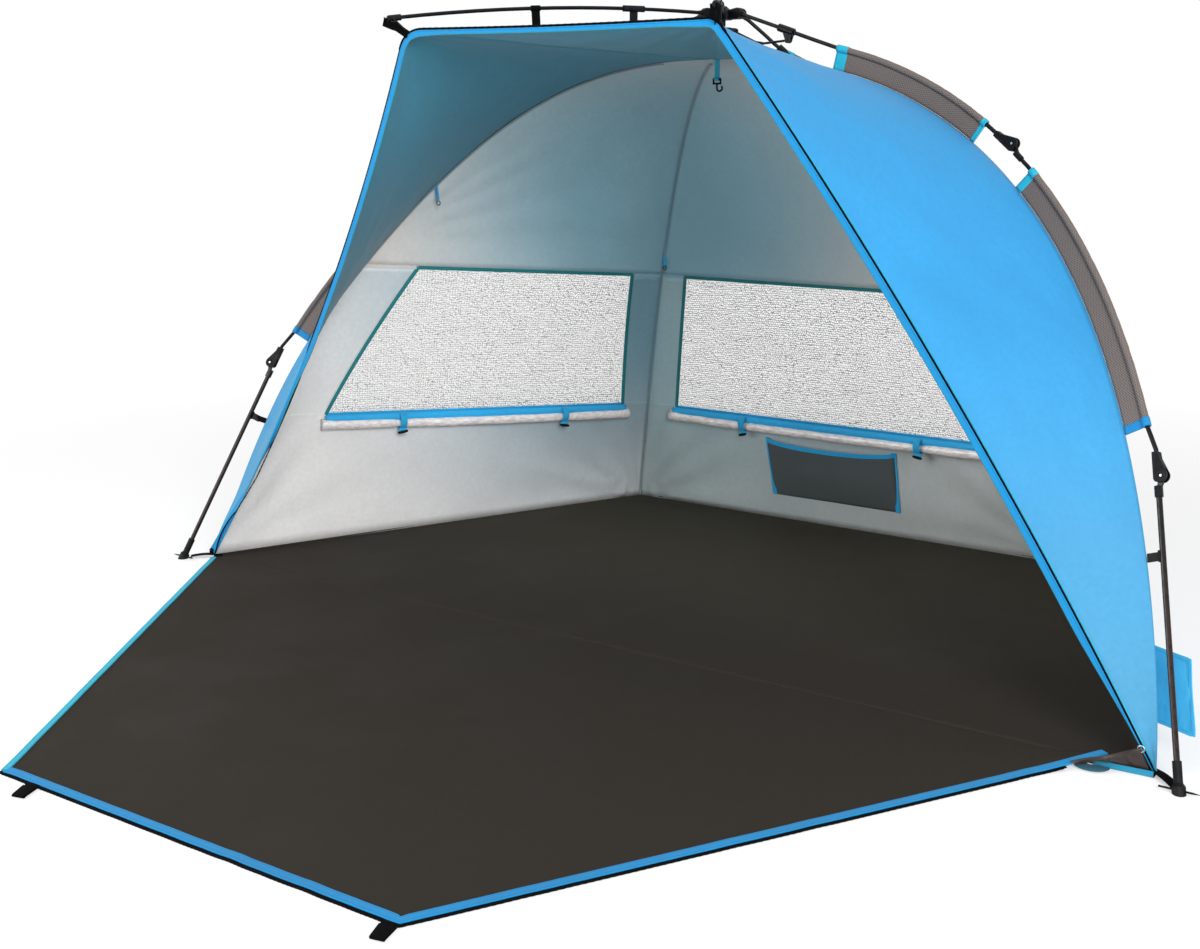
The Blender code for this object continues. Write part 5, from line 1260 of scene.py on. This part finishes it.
def make_loops():
    """Hanging loops on the left arch seam and the back seam."""
    for label, curve, share, drop in (("arch", side_seam, 0.762, 0.030), ("back", back_seam, 0.600, 0.016)):
        seam = partial(curve, -1)
        root = seam(share)
        tangent, out = seam_frame(seam, share)
        inward = -out
        points = []
        for k in range(13):
            turn = math.pi * k / 12
            reach = inward * (0.004 + 0.008 * math.sin(turn)) + UP * (-drop * math.sin(turn) ** 0.8)
            points.append(root + reach + tangent * (0.003 * math.cos(turn)))
        ribbon("hang_loop_" + label, points, tangent.cross(UP).normalized(), 0.008, 0.0014, "strap_blue")
        centre = root + inward * 0.012 + UP * (-drop - 0.005)
        ring_tube("hang_ring_" + label, centre, 0.0055, 0.0011, "plastic", 20)


def make_corner_webbing():
    """Black webbing from each corner of the ground sheet to its leg's foot."""
    corners = {"left": (-SILL_HALF_WIDTH, -SILL_FORWARD), "right": (SILL_HALF_WIDTH, -SILL_FORWARD),
               "back_right": (BACK_HALF_WIDTH, BACK_REACH), "back_left": (-BACK_HALF_WIDTH, BACK_REACH)}
    for name, (x, y) in corners.items():
        low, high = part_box("foot_" + name)
        foot = Vector(((low[0] + high[0]) / 2, (low[1] + high[1]) / 2, 0.004))
        start = Vector((x, y, 0.0040))
        reach, heading = (foot - start).length - 0.014, (foot - start).normalized()
        inside = 0.002 if "back" in name else 0.022
        start -= heading * inside
        reach += inside
        points = [start + heading * (reach * k / 12) + UP * (0.004 * math.sin(math.pi * k / 12)) for k in range(13)]
        ribbon("corner_webbing_" + name, points, left_of(heading), 0.020, 0.0018, "webbing")


def make_strap_patch():
    """The left leg's strap runs on to the seam, which is drawn in there."""
    low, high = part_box("leg_strap_left")
    sewn = [v.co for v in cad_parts["leg_strap_left"].data.vertices if v.co.x > high.x - 0.006]
    start = sum(sewn, Vector()) / len(sewn)
    wide = max(v.z for v in sewn) - min(v.z for v in sewn)
    middle = (low + high) / 2
    seam = side_seam(-1, start.z / APEX_HEIGHT)
    start = start.lerp(middle, 0.3)
    end = Vector((seam.x + 0.002, seam.y - 0.002, start.z - 0.004))
    ribbon("leg_strap_patch", [start.lerp(end, k / 8) + Vector((0, -0.0012, 0)) for k in range(9)], UP, wide,
           0.0020, "webbing")


def make_sill_corner():
    """The porch's right corner, twisted and drawn up to a ring, with the gusset and the tape under it."""
    start = porch_edge(1, 0.045) + Vector((-0.004, -0.006, 0.004))
    points, spans, widths = [], [], []
    for t in (k / 24 for k in range(25)):
        points.append(start.lerp(RING, t) + UP * (-0.003 * math.sin(math.pi * t)))
        turn = 0.6 + 2.6 * t
        spans.append(Vector((0, -math.cos(turn), math.sin(turn))))
        widths.append(0.009 - 0.003 * t + 0.002 * math.sin(9 * t))
    ribbon("sill_twist", points, spans, widths, 0.0034, "gusset")
    feet = between(Vector((1.112, -0.505, 0.010)), Vector((1.190, -0.499, 0.010)), 24)
    rows = []
    for s in (i / 14 for i in range(15)):
        row = []
        for k, foot in enumerate(feet):
            top = points[6 + k * 18 // 24] + Vector((0.0, -0.001, -0.002))
            fold = 0.0022 * math.sin(k * 0.9 + s * 2) * math.sin(math.pi * s) * math.sin(math.pi * k / 24)
            row.append(foot.lerp(top, s) + Vector((0, fold, 0)))
        rows.append(row)
    sheet("sill_gusset", rows, ["gusset"], "gathered", ["ground_sheet"])
    edge = between(Vector((1.096, -0.5110, 0.0058)), Vector((1.199, -0.5040, 0.0058)), 20)
    ribbon("sill_corner_tape", edge, Vector((0, 0.25, 0.97)), 0.0105, 0.0024, "corner_tape")
    loop, radial = [], []
    for k in range(17):
        a = math.pi * k / 16
        radial.append(Vector((math.cos(a) * 0.75, -math.sin(a), 0)).normalized())
        loop.append(Vector((1.096 + 0.021 * math.cos(a), -0.518 - 0.016 * math.sin(a), 0.0042)))
    ribbon("sill_loop", loop, radial, 0.024, 0.0040, "dark_teal")
    ring_tube("sill_ring", RING, 0.0058, 0.0014, "metal", 24)
    knot = [Vector((-1.2040 + 0.003 * math.sin(k), -0.494, 0.008 + 0.0012 * k)) for k in range(12)]
    ribbon("sill_knot", knot, Vector((1, 0.2, 0)), 0.0070, 0.0050, "webbing")


# Materials of the solids that stay

def mark_rivet(piece):
    """Gives the heads of a knuckle's rivet, which stand proud of its two flat sides, bright metal."""
    faces = piece.data.polygons
    axis = max((f.normal for f in faces),
               key=lambda n: sum(f.area for f in faces if abs(f.normal.dot(n)) > 0.999)).copy()
    spans = [f.center.dot(axis) for f in faces]
    for face, span in zip(faces, spans):
        if min(span - min(spans), max(spans) - span) < RIVET_HEAD:
            face.material_index = 1


SOLID_LOOKS = {"lower_tube": "tube", "pole": "pole", "strut": "pole", "apex_strap": "apex_strap",
               "brow_strap": "webbing"}


def dress_solids():
    for name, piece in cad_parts.items():
        if piece.hide_render:
            continue
        looks = [look for part, look in SOLID_LOOKS.items() if part in name]
        piece.data.materials.clear()
        piece.data.materials.append(M[looks[0] if looks else "plastic"])
        if "knuckle" in name:
            piece.data.materials.append(M["metal"])
            mark_rivet(piece)


# Stage, light and camera

STAGE_REACH = 14.0
STAGE_LEVEL = -0.0008
LENS = 46.84
CAMERA_PLACE = (1.848, -3.122, 1.128)
CAMERA_DOWN = 0.229
CAMERA_TURN = 0.607


def seen_rays(tree):
    """One for rays that show the stage: those of the camera, and mirrored or transmitted ones."""
    path = node(tree, "LightPath").outputs
    seen = math_node(tree, "MAXIMUM", path["Is Camera Ray"], path["Is Glossy Ray"])
    return math_node(tree, "MAXIMUM", seen, path["Is Transmission Ray"])


def make_stage():
    mat, tree, shader = new_material("studio_floor")
    plug(shader, Base_Color=(0.93, 0.93, 0.93, 1.0), Roughness=0.9, Specular_IOR_Level=0.1)
    away = node(tree, "VectorMath", coords(tree), operation="LENGTH").outputs["Value"]
    share = math_node(tree, "MULTIPLY", seen_rays(tree), map_range(tree, away, 1.3, 3.2, 0.45))
    glow = node(tree, "Emission", Strength=1.0).outputs["Emission"]
    plug(tree.nodes["Material Output"], Surface=mix_shader(tree, share, shader.outputs["BSDF"], glow))
    mesh = bpy.data.meshes.new("studio_floor")
    corners = [(x * STAGE_REACH, y * STAGE_REACH, STAGE_LEVEL) for x, y in ((-1, -1), (1, -1), (1, 1), (-1, 1))]
    mesh.from_pydata(corners, [], [(0, 1, 2, 3)])
    mesh.materials.append(mat)
    floor = bpy.data.objects.new("studio_floor", mesh)
    bpy.context.scene.collection.objects.link(floor)


def make_world():
    world = bpy.data.worlds.new("studio")
    bpy.context.scene.world = world
    world.use_nodes = True
    tree = world.node_tree
    tree.nodes.clear()
    light, shown = (node(tree, "Background", Strength=strength, Color=(1, 1, 1, 1)).outputs["Background"]
                    for strength in (0.55, 1.0))
    node(tree, "OutputWorld", Surface=mix_shader(tree, seen_rays(tree), light, shown))


def area_light(name, place, target, size, power):
    lamp = bpy.data.lights.new(name, "AREA")
    lamp.size, lamp.energy = size, power
    made = bpy.data.objects.new(name, lamp)
    made.location = place
    made.rotation_euler = (Vector(target) - Vector(place)).to_track_quat("-Z", "Y").to_euler()
    bpy.context.scene.collection.objects.link(made)


def make_lights():
    area_light("key", (4.4, -4.0, 2.7), (-0.4, 0, 0.5), 2.6, 320)
    area_light("fill", (-3.0, -4.2, 2.2), (0.4, 0, 0.5), 3.0, 170)
    area_light("top", (0.4, 0.6, 5.0), (0, 0, 0.6), 3.5, 25)


def make_camera():
    data = bpy.data.cameras.new("camera")
    data.sensor_width = 36.0
    data.sensor_fit = "HORIZONTAL"
    data.lens = LENS
    camera = bpy.data.objects.new("camera", data)
    camera.location = CAMERA_PLACE
    camera.rotation_euler = (math.pi / 2 - CAMERA_DOWN, 0.0, CAMERA_TURN)
    bpy.context.scene.collection.objects.link(camera)
    bpy.context.scene.camera = camera


for wall, wall_seed in WALL_SEEDS.items():
    make_wall(wall, wall_seed)
    make_shutter(wall, SHUTTER_SEEDS[wall])
for brow, brow_seed in BROW_SEEDS.items():
    make_brow_side(brow, brow_seed)
make_brow_front(BROW_FRONT_SEED)
make_brow_edges()
make_corner_straps()
make_seams()
make_sleeves()
make_floor()
make_porch()
make_net_pocket()
make_sand_pocket()
make_loops()
make_corner_webbing()
make_strap_patch()
make_sill_corner()
dress_solids()
make_stage()
make_world()
make_lights()
make_camera()

bpy.context.scene.view_settings.view_transform = "Standard"
